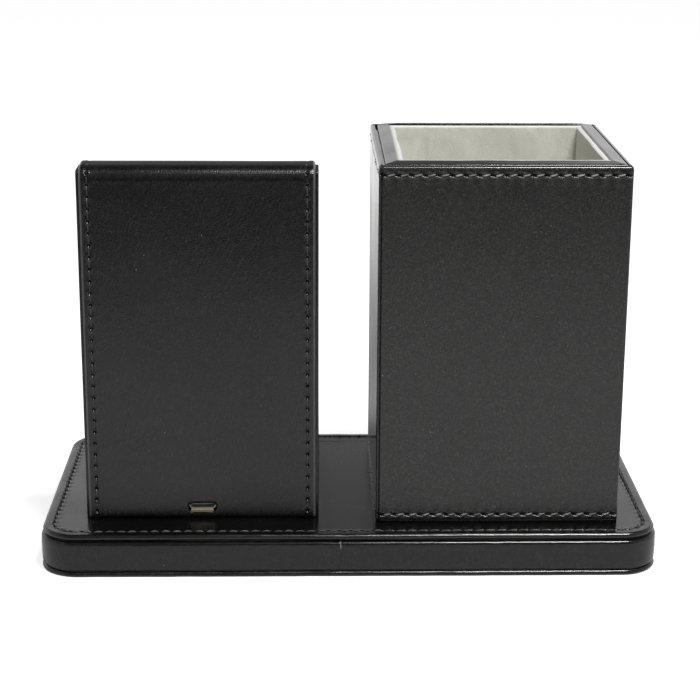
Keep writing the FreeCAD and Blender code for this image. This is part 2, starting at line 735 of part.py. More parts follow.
def repeat_across(body, feature, length, count="2"):
    """Equal copies of a feature along X, evenly spread over a length."""
    row = body.newObject("PartDesign::LinearPattern", f"{body.Name}_row")
    row.Originals = [feature]
    row.Direction = (origin_feature(body, "X_Axis"), [""])
    bind(row, "Length", length)
    bind(row, "Occurrences", count)
    body.Tip = row
    doc.recompute()


def turned_pair(label, draw, span):
    """Two equal turned pieces, a span apart along X, kept as one group."""
    body = new_body(label)
    sketch = new_sketch(body, "XZ")
    draw(sketch)
    turned = body.newObject("PartDesign::Revolution", f"{label}_turned")
    turned.Profile = sketch
    turned.ReferenceAxis = (sketch, ["V_Axis"])
    turned.Angle = 360
    doc.recompute()
    repeat_across(body, turned, span)
    return body


def build_screws():
    for name, spots in (("cup", CUP_SCREWS), ("stand", STAND_SCREWS)):
        pair = turned_pair(f"{name}_screws", base_screw_sketch, f"{name}_screw_span")
        place(pair, *spots[0], "bottom_cover")


build_base()
build_cup()
build_stand()
build_charger()
build_screws()
doc.recompute()

failed = [item.Name for item in doc.Objects if {"Invalid", "Error"} & set(item.State)]
if failed:
    raise ValueError(f"not built: {failed}")
for piece in pieces:
    if piece.Shape.isNull() or not piece.Shape.isValid() or not piece.Shape.Solids:
        raise ValueError(f"no sound solid: {piece.Label}")
os.makedirs("parts", exist_ok=True)
for piece in pieces:
    piece.Shape.exportStep(f"parts/{piece.Label}.step")
print(f"{len(pieces)} pieces, {sum(len(piece.Shape.Solids) for piece in pieces)} solids")
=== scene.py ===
import json
import math

import bmesh
import bpy
import numpy as np
from mathutils import Matrix, Vector


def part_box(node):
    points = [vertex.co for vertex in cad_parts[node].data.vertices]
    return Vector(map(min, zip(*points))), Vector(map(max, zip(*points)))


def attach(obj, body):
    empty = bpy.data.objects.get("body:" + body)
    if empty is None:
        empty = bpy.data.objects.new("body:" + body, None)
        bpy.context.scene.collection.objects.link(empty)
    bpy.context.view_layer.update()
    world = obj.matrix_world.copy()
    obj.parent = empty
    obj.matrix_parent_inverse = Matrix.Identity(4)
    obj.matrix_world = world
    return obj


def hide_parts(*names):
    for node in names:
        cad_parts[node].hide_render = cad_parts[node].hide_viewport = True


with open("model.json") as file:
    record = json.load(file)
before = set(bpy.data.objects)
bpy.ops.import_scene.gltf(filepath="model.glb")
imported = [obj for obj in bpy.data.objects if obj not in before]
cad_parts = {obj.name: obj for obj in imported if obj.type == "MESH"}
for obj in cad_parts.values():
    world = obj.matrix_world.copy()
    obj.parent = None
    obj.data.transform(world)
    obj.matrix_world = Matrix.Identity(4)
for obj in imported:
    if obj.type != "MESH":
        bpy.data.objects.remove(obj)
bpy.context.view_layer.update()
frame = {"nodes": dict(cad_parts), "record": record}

# All shapes are worked out in millimetres and written to the meshes in metres.
MM = 0.001
UP = np.array([0, 0, 1.0])

# Keeps faces apart that would lie in one place, and tells places apart
TINY = 0.01

# Values named WAVE are the wavelength and the height of an unevenness.

# Base: corner in plan, rolled edges of its three leather layers and the groove between them
BASE_CORNER = 12.0
PAD_INSET = 0.5
PAD_LAP = 2.6
PAD_ROLL_TOP = 0.85
PAD_ROLL_UNDER = 1.2
PAD_FOOT = 0.5
PAD_EDGE_WAVE = (9, 0.03)
PAD_WAVE = (70, 0.05)
BAND_ROLL = 0.8
BAND_BULGE = 0.12
BAND_THICKNESS = 1.2
BAND_ROWS = 7
BAND_EDGE_WAVE = (7, 0.035)
BAND_WAVE = (40, 0.05)
GROOVE_BACK = 0.95
GROOVE_FILL = 0.27
UNDER_LAP = 4.0
UNDER_ROLL = 0.85
UNDER_PROUD = 0.2
UNDER_EDGE = 2.0
UNDER_WAVE = (11, 0.06)
LOW_WAVES = (1, 1, 3)

# Stitch line of the base's top, with close rows before and after it and a few further in
BASE_STITCH_INSET = 3.6
BASE_STITCH_PITCH = 3.6
PAD_BEAD = 0.05
PAD_VALLEY = 0.12
PAD_ZONE = (0.9, 1.0)
PAD_INNER = (1.5, 2.5, 5.0)

# Butt seam of the band: reach, pale core and mesh marks are counted in half seams
BAND_SEAM_X = -3.0
BAND_SEAM_HALF = 0.16
BAND_SEAM_DEPTH = 0.2
BAND_SEAM_PALE = 2.4
BAND_SEAM_REACH = 1.3
BAND_SEAM_CORE = 0.7
BAND_SEAM_MARKS = (-3, -2, -1.4, -1, -0.6, 0, 0.6, 1, 1.4, 2, 3)

# Cup: outer panels with a seam beside one edge and stitch lines below the rim and above the foot
CUP_SIDES = {"rear": (0, -1, 0), "right": (1, 0, 0), "front": (0, 1, 0), "left": (-1, 0, 0)}
CUP_ROLL = 0.75
CUP_CORNER = 1.0
CUP_SKIN_REACH = 0.18
CUP_SEAM_INSET = 0.95
CUP_SEAM_HALF = 0.2
CUP_SEAM_DEPTH = 0.5
CUP_SEAM_ZONE = (0, 1.6, 0.12)
CUP_STITCH_DROP = 2.9
CUP_STITCH_RISE = 2.65
CUP_STITCH_PITCH = 4.2
CUP_STITCH_END = 1.7
CUP_BEAD_TOP = 0.22
CUP_BEAD_FOOT = 0.2
CUP_VALLEY = 0.14
CUP_WAVE = (60, 0.06)
CUP_EDGE_WAVE = (8, 0.025)

# Rim strips: rise from outer to inner edge, hump of one strip, groove outside them
RIM_ROLL = 0.5
RIM_GROOVE = 0.4
RIM_GROOVE_WALL = 0.9
RIM_GROOVE_DEPTH = 0.75
RIM_GAPS = {"rear": 0.4, "right": 0.3, "front": 0.4, "left": 0.8}
RIM_RISE = (0.3, 0.95)
RIM_HUMPS = {"front": 0.52}
RIM_HUMP_REACH = 4.0
RIM_WAVE = (20, 0.025)
RIM_STEPS = (2.0, 0.6)

# Velvet on the cup's walls and floor
VELVET_ROLL = 0.8
VELVET_RISE = 1.15
VELVET_RAGGED = 2.0
VELVET_RAGGED_WAVE = (3, 0.07)
VELVET_WAVE = (18, 0.1)
VELVET_TUFT_WAVE = (5, 0.03)
VELVET_STEPS = (1.2, 3.0)
VELVET_TOP = 5.0
VELVET_TOP_STEP = 0.5
CARPET_WAVE = (14, 0.1)
CARPET_TUFT_WAVE = (4, 0.04)
CARPET_SUNK = 0.15
CARPET_STEP = 1.5

# Stand: lean of its back, ridge, foot and folds, stitch lines along both edges
STAND_FOOT_Y = -33.7
STAND_LEAN = 2.4
STAND_RIDGE = 13.0
STAND_FOOT = 54.0
COVER_THICKNESS = 1.4
COVER_ROLL = 0.65
COVER_BEAD = 0.1
COVER_VALLEY = 0.08
COVER_WAVE = (55, 0.07)
COVER_EDGE_WAVE = (7, 0.03)
COVER_STEP = 1.6
HEM_ROLL = 0.9
FOLD_RADIUS = 3.0
FOLD_POINTS = 12
SOFT_FOLD = 4.0
RIDGE_CROWN = 0.9
RIDGE_DROP = 0.65
RIDGE_REACH = 5.0
RIDGE_ZONE = 8.0
FOOT_FLARE = 0.5
FOOT_REACH = 5.0
FOOT_ZONE = (0.5, 14, 0.8)
STAND_STITCH_INSET = 2.6
STAND_STITCH_START = 2.3
STAND_STITCH_END = 1.2
STAND_STITCH_PITCH = 3.85
HOLE_ZONE = (-0.9, 0.91, 0.2)

# Side skins, shelf and lip of the stand
SKIN_ROLL = 0.4
HIDDEN_ROLL = 0.05
PLATE_WAVE = (45, 0.04)
PLATE_STEP = 1.5
SHARPEST_CORNER = 0.4
LEDGE_ROLL = 1.2
SHELF_TILT = 0.1
SHELF_FOLD = 0.08
LIP_FOLD = 1.7
LIP_STEP = 0.8

# Socket cut-out: its window in the mesh, rings from the window to the edge as share and depth, and the cut
# edge as share of the thickness and finish
PORT_WIDTH = 9.3
PORT_TALL = 2.85
PORT_CORNER = 1.4
PORT_LEVEL = 3.3
PORT_LIP = 1.0
PORT_GLUED = 3.7
PORT_WINDOW = 6.5
PORT_WINDOW_FOOT = 1.1
PORT_WINDOW_TOP = 7.3
PORT_STEP = 1.0
PORT_HALVINGS = 40
# Cut-edge finishes: raw, glued, and the cover's side edges, worn and painted paler as a highlight from a side
# lamp
RAW, GLUED, WORN_AND_HIGHLIT = 1, 2, 3
PORT_RINGS = ((0.55, 0.0), (0.85, 0.0), (0.95, 0.1), (1.0, 0.3))
PORT_CUT = ((0.5, RAW), (1.0, GLUED))

# Needle holes, the dents that the thread pulls into the leather, and the thread itself
HOLE_TURN = -0.2
LIP_PLACE = 1.8
LIP_HALF = 0.5
VALLEY_HALF = 0.5
PAD_HOLE = {"depth": 0.35, "length": 0.8, "width": 0.42, "lip": 0.25}
CUP_HOLE = {"depth": 0.72, "length": 1.1, "width": 0.36, "lip": 0.28}
STAND_HOLE = {"depth": 0.6, "length": 0.45, "width": 0.42, "lip": 0.15}
PAD_STITCH = {"radius": 0.25, "slant": 0.3, "gap": 0.4, "arch": 0.56}
CUP_STITCH = {"radius": 0.27, "slant": 0.3, "gap": 0.85, "arch": 0.65}
STAND_STITCH = {"radius": 0.22, "slant": 0.08, "gap": 0.45, "arch": 0.6}
THREAD_SIDES = 7
THREAD_RINGS = 7
THREAD_END = 0.02
THREAD_BOW = 0.55
THREAD_SUNK = 0.5
THREAD_THIN = 0.75
THREAD_SLACK = 0.12

# Pressed edges are flatter than a round one where they catch the lamp
PRESSED = 1.45

# Mesh: points on rolled edges, spacing along stitch lines, across them and on plain leather, sharp edges
ROLL_POINTS = 5
PRESSED_POINTS = 8
UNDER_POINTS = 9
FINE = 0.4
CLOSE = 0.3
PLAIN = 1.0
COARSE = 4.0
SEAM_ZONE = 1.2
SEAM_STEP = 0.15
SHARP_ANGLE = math.radians(50)

SEED = 11
WAVE_COUNT = 7
WAVE_STRETCH = (0.7, 1.6)


def unit(vectors):
    """A vector, or each row of an array, brought to length 1."""
    return vectors / np.linalg.norm(vectors, axis=-1, keepdims=True)


random = np.random.default_rng(SEED)
WAVES = list(zip(unit(random.normal(size=(WAVE_COUNT, 3))), random.uniform(0, 2 * math.pi, WAVE_COUNT),
                 random.uniform(*WAVE_STRETCH, WAVE_COUNT)))


def box(node):
    low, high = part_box(node)
    return np.array(low) / MM, np.array(high) / MM


def ripple(points, wavelength, height):
    """A gentle unevenness: crossed waves of about one wavelength."""
    total = sum(np.sin(points @ direction * 2 * math.pi / (wavelength * stretch) + phase)
                for direction, phase, stretch in WAVES)
    return height * total / math.sqrt(len(WAVES))


def running(lengths):
    """Distances along a line from the lengths of its legs."""
    return np.concatenate([[0], np.cumsum(lengths)])


def followed(places, along, points):
    """Points of a line at given distances along it."""
    return np.column_stack([np.interp(places, along, column) for column in points.T])


def roll(distance, radius, power=2.0):
    """How far a rolled edge has dropped at a distance in from the edge; a lower power flattens its middle."""
    inside = np.clip(radius - distance, 0, radius)
    return (radius ** power - inside ** power) ** (1 / power) - radius


def bead(distance, width, height):
    """The soft swelling of turned leather between an edge and its stitch line."""
    share = np.clip(distance / width, 0, 1)
    return height * np.sin(math.pi * share) ** 2


def valley(distance, depth):
    """The dent along a stitch line at a distance from it."""
    return -depth * np.exp(-(distance / VALLEY_HALF) ** 2)


def dimples(points, holes, ways, depth, length, width, lip):
    """Slanted dents with raised lips at needle holes, from flat places and the seam's way at each hole."""
    nearest = np.full(points.shape[:-1], np.inf)
    cosine, sine = math.cos(HOLE_TURN), math.sin(HOLE_TURN)
    turned = np.array(ways) @ [[cosine, sine], [-sine, cosine]]
    for hole, (x, y) in zip(holes, turned):
        along, across = ((points - hole) @ way for way in ((x, y), (-y, x)))
        nearest = np.minimum(nearest, np.hypot(along / length, across / width))
    return depth * (lip * np.exp(-((nearest - LIP_PLACE) / LIP_HALF) ** 2) - np.exp(-nearest ** 2))


def roll_marks(radius):
    """Places across a rolled edge, close together where it turns."""
    return radius * (1 - np.cos(np.linspace(0, math.pi / 2, ROLL_POINTS)))


def marks(length, radius, zones=(), step=COARSE):
    """Places from edge to edge: both rolls, close steps in the given zones, wider steps elsewhere."""
    edges = roll_marks(radius)
    places = np.concatenate([edges, length - edges])
    for low, high, spacing in zones:
        places = np.concatenate([places, np.linspace(low, high, max(2, round((high - low) / spacing) + 1))])
    places = np.unique(places.round(4))
    gaps = [np.linspace(a, b, math.ceil((b - a) / step) + 1) for a, b in zip(places[:-1], places[1:])]
    return np.unique(np.concatenate(gaps).round(4))


class Shape:
    """Points and faces gathered for one mesh."""

    def __init__(self):
        self.points = []
        self.faces = []
        self.finishes = []

    def add(self, points):
        first = len(self.points)
        self.points.extend(points.reshape(-1, 3))
        return np.arange(first, len(self.points)).reshape(points.shape[:-1])

    def take(self, faces, finish=0):
        """Faces with one finish for all or one for each."""
        self.faces.extend(np.asarray(faces).tolist())
        self.finishes.extend(np.broadcast_to(finish, len(faces)).tolist())

    def grid(self, index, skip=None, finish=0):
        corners = (index[:-1, :-1], index[1:, :-1], index[1:, 1:], index[:-1, 1:])
        faces = np.stack(corners, axis=-1).reshape(-1, 4)
        kept = slice(None) if skip is None else ~skip.reshape(-1)
        self.take(faces[kept], np.broadcast_to(finish, len(faces))[kept])

    def bridge(self, first, second, finish=0):
        """A closed band of faces between two loops of as many points."""
        after, later = np.roll(first, -1), np.roll(second, -1)
        self.take(np.stack([first, after, later, second], axis=-1), finish)

    def cap(self, loop):
        self.take([loop])

    def stack(self, loops, closed=False):
        """Bands of faces through loops, either capped or closed on themselves."""
        rings = [self.add(loop) for loop in loops]
        for first, second in zip(rings[:-1], rings[1:]):
            self.bridge(first, second)
        if closed:
            self.bridge(rings[-1], rings[0])
        else:
            self.cap(rings[0][::-1])
            self.cap(rings[-1])


def border(index):
    """The points round the edge of a grid, in order."""
    return np.concatenate([index[0, :-1], index[:-1, -1], index[-1, :0:-1], index[:0:-1, 0]])


def add_object(name, data):
    thing = bpy.data.objects.new(name, data)
    bpy.context.scene.collection.objects.link(thing)
    return thing


def finish_piece(name, shape, materials, replaced=()):
    """Makes the mesh, shades it and hangs it on the part."""
    mesh = bpy.data.meshes.new(name)
    mesh.from_pydata((np.array(shape.points) * MM).tolist(), [], shape.faces)
    for material in materials:
        mesh.materials.append(material)
    mesh.polygons.foreach_set("material_index", shape.finishes)
    solid = bmesh.new()
    solid.from_mesh(mesh)
    bmesh.ops.recalc_face_normals(solid, faces=solid.faces)
    solid.to_mesh(mesh)
    solid.free()
    mesh.shade_smooth()
    mesh.set_sharp_from_angle(angle=SHARP_ANGLE)
    piece = add_object(name, mesh)
    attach(piece, "root")
    if replaced:
        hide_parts(*replaced)


def layered_piece(name, loops, material, node):
    """A closed piece through loops, in one material."""
    shape = Shape()
    shape.stack(loops)
    finish_piece(name, shape, [material], [node])


# Materials. A pattern is its size in millimetres, its detail and its distortion. What shows of it is where
# it starts and ends in its range, then what it starts and ends with. A relief is its depth and its strength.
SHOWN = (0.3, 0.7)

# Leather: patches, grain, pores, streaks, hairlines, fibres, gloss, tints of dark and rubbed places, dust
PATCHES = (22, 3)
GRAIN = (0.35, 3)
PORES = {"Scale": 2.5, "Smoothness": 0.5}
STREAKS = (1.0, 4, 0.8)
STREAKS_SHOWN = (0.38, 0.62)
STREAK_RELIEF = 1.2
HAIRS = (1.0, 2, 0.5)
HAIRS_SHOWN = (0.7, 0.78, 0.0, 0.7)
HAIR_SIZES = (0.22, 7, 7)
HAIR_TURN = 0.4
FIBRES = (1.0, 3, 0.4)
FIBRES_SHOWN = (0.45, 0.7)
LEATHER_GLOSS = (-0.07, 0.09)
LEATHER_DARK = np.array([0.5, 0.49, 0.48])
LEATHER_TINT = np.array([1, 0.99, 0.95])
RUBBED_TINT = np.array([1, 0.98, 0.94])
SPECK_SPACING = 2.6
SPECK_SIZE = 0.06
SPECK_COLOR = (0.3, 0.295, 0.28)

# Velvet: lying, brushed and raised pile, and a paler colour on faces that look up, painted light from above
BRUSHED = (1.0, 4, 1.5)
BRUSHED_SHOWN = (0.35, 0.65)
BRUSHED_SIZES = (9, 9, 16)
PILE = (0.3, 3)
PILE_SHOWN = (0.3, 0.8, 0.0, 0.5)
PILE_RELIEF = (0.25, 0.6)
PILE_LYING = (0.60, 0.595, 0.53)
PILE_BRUSHED = (0.73, 0.725, 0.65)
PILE_RAISED = (0.82, 0.815, 0.74)
PILE_PAINTED_TOP_LIGHT = (0.80, 0.80, 0.76)
PAINTED_TOP_LIGHT_SHOWN = (0.2, 0.8)
SHEEN_TINT = (0.95, 0.94, 0.9, 1)

# Thread, plain solids, plated metal and the socket's plastic, whose pale grey lip is a painted highlight
TWIST = {"Scale": 1.3, "Distortion": 1.5, "Detail": 2.0}
TWIST_RELIEF = (0.08, 0.5)
FUZZ = (0.2, 2)
WEAR = (2.5, 2)
WEAR_SHOWN = (0.35, 0.65, 0.3, 1.7)
GLOSS_RANGE = 0.08
MOTTLED_DETAIL = 4
MOTTLED_FINE = (6, 3)
MOTTLED_STRENGTH = 0.5
DRAWN_LINES = (1.0, 3)
DRAWN_SIZES = (0.08, 3.0, 0.08)
METAL_GLOSS = (-0.06, 0.1)
METAL_RELIEF = (0.01, 0.4)
PLASTIC_GRAIN = (0.2, 3)
PLASTIC_RELIEF = (0.02, 0.5)
LIP_PAINTED_HIGHLIGHT = ((0.74, 0.75, 0.71), (0.92, 0.93, 0.88))
PLASTIC_BLACK = (0.004, 0.004, 0.004)

# Places of the colours among the sockets of a Mix node
MIX_FIRST, MIX_SECOND, MIX_RESULT = 6, 7, 2


def is_socket(value):
    return isinstance(value, bpy.types.NodeSocket)


def add_node(kind, inputs, tree=None, **settings):
    """A shader node wired to its inputs, in the given tree or in that of its first linked input."""
    if tree is None:
        tree = next(filter(is_socket, inputs.values())).id_data
    node = tree.nodes.new("ShaderNode" + kind)
    for key, value in settings.items():
        setattr(node, key, value)
    for key, value in inputs.items():
        if is_socket(value):
            tree.links.new(value, node.inputs[key])
        else:
            node.inputs[key].default_value = value
    return node


def new_material(name, **constants):
    """A material with its shader, and coordinates in millimetres that stay on the object."""
    material = bpy.data.materials.new(name)
    material.use_nodes = True
    tree = material.node_tree
    shader = tree.nodes["Principled BSDF"]
    for key, value in constants.items():
        shader.inputs[key.replace("_", " ")].default_value = value
    place = add_node("TexCoord", {}, tree).outputs["Object"]
    scaled = add_node("VectorMath", {0: place, "Scale": 1 / MM}, operation="SCALE")
    return material, shader, scaled.outputs["Vector"]


def noise(place, size, detail=2.0, distortion=0.0):
    inputs = {"Vector": place, "Scale": 1 / size, "Detail": detail, "Distortion": distortion}
    return add_node("TexNoise", inputs).outputs["Fac"]


def stretched(place, sizes, turn=0.0):
    """Coordinates turned about Y and squeezed so that a pattern is longer one way than another."""
    inputs = {"Vector": place, "Rotation": (0, turn, 0), "Scale": sizes}
    return add_node("Mapping", inputs, vector_type="TEXTURE").outputs["Vector"]


def axes_of(vector):
    return add_node("SeparateXYZ", {"Vector": vector}).outputs


def math_node(operation, *values):
    return add_node("Math", dict(enumerate(values)), operation=operation).outputs[0]


def plus(first, second):
    return math_node("ADD", first, second)


def times(first, second):
    return math_node("MULTIPLY", first, second)


def average(first, second):
    return times(plus(first, second), 0.5)


def most(first, second):
    return math_node("MAXIMUM", first, second)


def mix_colors(share, first, second):
    """One colour or another by a share from 0 to 1."""
    first, second = (value if is_socket(value) else (*value, 1.0) for value in (first, second))
    inputs = {"Factor": share, MIX_FIRST: first, MIX_SECOND: second}
    return add_node("Mix", inputs, data_type="RGBA").outputs[MIX_RESULT]


def ramp(value, start, end, low=0.0, high=1.0):
    """A value between start and end moved to between low and high, held at the ends."""
    inputs = {"Value": value, "From Min": start, "From Max": end, "To Min": low, "To Max": high}
    return add_node("MapRange", inputs).outputs["Result"]


def link_surface(shader, color, rough, height, depth, strength=1.0):
    """Links a colour, a roughness if it varies, and a relief to the shader."""
    tree = shader.id_data
    tree.links.new(color, shader.inputs["Base Color"])
    if rough is not None:
        tree.links.new(rough, shader.inputs["Roughness"])
    bump = add_node("Bump", {"Height": height, "Distance": depth * MM, "Strength": strength})
    tree.links.new(bump.outputs["Normal"], shader.inputs["Normal"])


def dust(place, share):
    """Sparse specks: 1 on a speck, 0 elsewhere."""
    cells = add_node("TexVoronoi", {"Vector": place, "Scale": 1 / SPECK_SPACING})
    chance = add_node("SeparateColor", {"Color": cells.outputs["Color"]})
    reach = ramp(chance.outputs["Red"], 1 - share, 1.0, 0.0, SPECK_SIZE)
    return math_node("LESS_THAN", cells.outputs["Distance"], reach)


def leather(name, gloss, shade=0.002, rub=0.03, relief=0.035, streaks=(1.4, 0.9, 1.4), fibre=(0.3, 1.3, 1.3),
            turn=0.0, specks=0.2, specular=0.5, top=None):
    """Fine-grained black leathercloth with soft streaks, hairlines, uneven gloss and a few specks of dust.

    Between two levels, top can change its gloss and relief: levels, change in roughness, share of relief.
    """
    material, shader, place = new_material(name, Specular_IOR_Level=specular, IOR=1.5)
    broad = noise(place, *PATCHES)
    fine = noise(place, *GRAIN)
    pores = add_node("TexVoronoi", {"Vector": place, **PORES}, feature="SMOOTH_F1").outputs["Distance"]
    drawn = noise(stretched(place, streaks, turn), *STREAKS)
    hairs = noise(stretched(place, HAIR_SIZES, turn + HAIR_TURN), *HAIRS)
    fibres = noise(stretched(place, fibre, turn), *FIBRES)
    grain = times(ramp(fibres, *FIBRES_SHOWN), ramp(drawn, *STREAKS_SHOWN))
    rubbed = most(grain, ramp(hairs, *HAIRS_SHOWN))
    color = mix_colors(broad, shade * LEATHER_DARK, shade * LEATHER_TINT)
    color = mix_colors(rubbed, color, rub * RUBBED_TINT)
    color = mix_colors(dust(place, specks), color, SPECK_COLOR)
    rough = ramp(average(broad, fine), *SHOWN, *np.add(gloss, LEATHER_GLOSS))
    height = plus(average(pores, fine), times(drawn, STREAK_RELIEF))
    if top:
        low, high, change, share = top
        level = axes_of(place)["Z"]
        rough = plus(rough, ramp(level, low, high, 0.0, change))
        height = times(height, ramp(level, low, high, 1.0, share))
    link_surface(shader, color, rough, height, relief)
    return material


def velvet(name):
    """Short pale pile, brushed here and there, with a soft sheen at its edges and painted light on faces that
    look up.
    """
    material, shader, place = new_material(
        name, Roughness=0.95, Specular_IOR_Level=0.15, Sheen_Weight=0.55, Sheen_Roughness=0.45,
        Sheen_Tint=SHEEN_TINT)
    brushed = noise(stretched(place, BRUSHED_SIZES), *BRUSHED)
    pile = noise(place, *PILE)
    color = mix_colors(ramp(brushed, *BRUSHED_SHOWN), PILE_LYING, PILE_BRUSHED)
    color = mix_colors(ramp(pile, *PILE_SHOWN), color, PILE_RAISED)
    # Faces that look up are painted paler: light from above painted into the velvet's colour
    upward = axes_of(add_node("NewGeometry", {}, shader.id_data).outputs["Normal"])["Z"]
    color = mix_colors(ramp(upward, *PAINTED_TOP_LIGHT_SHOWN), color, PILE_PAINTED_TOP_LIGHT)
    link_surface(shader, color, None, plus(pile, brushed), *PILE_RELIEF)
    return material


def thread(name, dark, light, rough, specular):
    """Twisted thread with a waxy shine."""
    material, shader, place = new_material(name, Specular_IOR_Level=specular)
    twist = add_node("TexWave", {"Vector": place, **TWIST}).outputs["Fac"]
    fuzz = noise(place, *FUZZ)
    worn = times(fuzz, ramp(noise(place, *WEAR), *WEAR_SHOWN))
    color = mix_colors(worn, (dark,) * 3, (light,) * 3)
    gloss = ramp(fuzz, 0.0, 1.0, rough - GLOSS_RANGE, rough + GLOSS_RANGE)
    link_surface(shader, color, gloss, twist, *TWIST_RELIEF)
    return material


def mottled(name, dark, light, size, rough, depth=0.03):
    """A plain solid whose colour, gloss and surface vary a little."""
    material, shader, place = new_material(name)
    patches = noise(place, size, MOTTLED_DETAIL)
    finer, detail = MOTTLED_FINE
    fine = noise(place, size / finer, detail)
    color = mix_colors(ramp(patches, *SHOWN), dark, light)
    gloss = ramp(fine, *SHOWN, rough - GLOSS_RANGE, rough + GLOSS_RANGE)
    link_surface(shader, color, gloss, fine, depth, MOTTLED_STRENGTH)
    return material


def socket_insulator(name, lip, deep):
    """Black moulded plastic, painted pale grey at the tongue's lip as a highlight, black further in."""
    material, shader, place = new_material(name, Roughness=0.4)
    fine = noise(place, *PLASTIC_GRAIN)
    # Pale grey at the lip is a painted highlight; the plastic itself is black
    painted_highlight = mix_colors(fine, *LIP_PAINTED_HIGHLIGHT)
    color = mix_colors(ramp(axes_of(place)["Y"], lip, deep), painted_highlight, PLASTIC_BLACK)
    link_surface(shader, color, None, fine, *PLASTIC_RELIEF)
    return material


def metal(name, dark, light, rough, metallic=1.0):
    """Plated metal with fine drawn lines along it."""
    material, shader, place = new_material(name, Metallic=metallic)
    lines = noise(stretched(place, DRAWN_SIZES), *DRAWN_LINES)
    gloss = ramp(lines, 0.0, 1.0, *np.add(rough, METAL_GLOSS))
    link_surface(shader, mix_colors(lines, dark, light), gloss, lines, *METAL_RELIEF)
    return material


PAD_LEATHER = leather("base_pad_leather", 0.21, rub=0.006, relief=0.018, specks=0.5, specular=0.6)
BAND_LEATHER = leather("base_band_leather", 0.26, rub=0.02, specular=0.48, top=(10.9, 11.3, -0.08, 0.3))
UNDER_LEATHER = leather("base_under_leather", 0.22, relief=0.012)
CUP_LEATHER = leather("cup_leather", 0.26, shade=0.012, rub=0.065, relief=0.03, streaks=(0.8, 0.65, 1.0),
                      fibre=(0.22, 0.8, 0.8), turn=0.5, specks=0.25, specular=0.54,
                      top=(130.7, 131.1, -0.05, 0.08))
RIM_LEATHER = leather("cup_rim_leather", 0.17, shade=0.012, rub=0.03, relief=0.006)
CUP_SIDE_LEATHER = leather("cup_side_leather", 0.15, shade=0.006, rub=0.014, relief=0.015, specular=0.54)
STAND_LEATHER = leather("stand_leather", 0.25, rub=0.025, streaks=(0.45, 2.2, 2.2), turn=0.35, specular=0.56,
                        top=(129.6, 130.3, 0.3, 1.0))
# Pale worn edge of the stand's cover, lightened as a painted highlight from a lamp at the side
WORN_EDGE_AND_HIGHLIGHT = leather("worn_and_highlit_edge_leather", 0.35, shade=0.11, rub=0.13, relief=0.01)
SIDE_LEATHER = leather("stand_side_leather", 0.28, top=(127.4, 128.6, 0.5, 1.0))
LEDGE_LEATHER = leather("ledge_leather", 0.28)
VELVET = velvet("cup_velvet")
PAD_THREAD = thread("base_thread", 0.01, 0.15, 0.45, 0.5)
CUP_THREAD = thread("cup_thread", 0.12, 0.42, 0.35, 0.6)
STAND_THREAD = thread("stand_thread", 0.015, 0.06, 0.45, 0.5)
RAW_EDGE = mottled("raw_leather_edge", (0.07, 0.045, 0.02), (0.17, 0.11, 0.055), 0.5, 0.8, 0.08)
GLUED_EDGE = mottled("pale_glue_edge", (0.42, 0.35, 0.18), (0.62, 0.53, 0.32), 0.8, 0.6, 0.05)
PALE_EDGE = mottled("pale_seam_edge", (0.03, 0.029, 0.027), (0.5, 0.48, 0.44), 2.5, 0.7, 0.05)


# Base

def rounded_outline(low, high, corner, step, extra=()):
    """Points round a rounded rectangle and the way inwards at each, from the middle of the near side."""
    half = (high - low) / 2 - corner
    turn = corner * math.pi / 2
    lengths = [half[0], turn, 2 * half[1], turn, 2 * half[0], turn, 2 * half[1], turn, half[0]]
    ends = running(lengths)
    places = np.linspace(0, ends[-1], round(ends[-1] / step), endpoint=False)
    places = np.unique(np.concatenate([places, np.mod(extra, ends[-1])]).round(4))
    angles = np.interp(places, ends, np.repeat(np.arange(5), 2) * math.pi / 2)
    outward = np.column_stack([np.sin(angles), -np.cos(angles)])
    core = [(0, -1), (1, -1), (1, -1), (1, 1), (1, 1), (-1, 1), (-1, 1), (-1, -1), (-1, -1), (0, -1)]
    return (low + high) / 2 + followed(places, ends, core * half) + outward * corner, -outward


def even_holes(points, pitch):
    """Needle holes spaced evenly round a closed line, with the pitch fitted to its length."""
    closed = np.vstack([points, points[:1]])
    along = running(np.linalg.norm(np.diff(closed, axis=0), axis=1))
    places = np.linspace(0, along[-1], round(along[-1] / pitch), endpoint=False)
    return followed(places, along, closed)


def flat_loop(points, inward, inset, level):
    """A loop moved in from an outline; inset and level can differ from point to point."""
    plan = points + inward * np.reshape(inset, (-1, 1))
    return np.column_stack([plan, np.broadcast_to(level, len(plan))])


def upper_roll(level, radius, count=ROLL_POINTS, power=2.0):
    """Insets and levels on a rolled edge, from its side up to its flat."""
    angles = np.linspace(0, math.pi / 2, count)
    insets = radius * (1 - np.clip(np.cos(angles), 0, 1) ** (2 / power))
    drops = radius * (1 - np.sin(angles) ** (2 / power))
    return list(zip(insets, level - drops))


def pressed_roll(level, radius):
    return upper_roll(level, radius, PRESSED_POINTS, PRESSED)


def lower_roll(level, radius, count=ROLL_POINTS):
    """Insets and levels on the rolled edge of an underside, from its flat up to its side."""
    return [(inset, level - place) for inset, place in upper_roll(0.0, radius, count)][::-1]


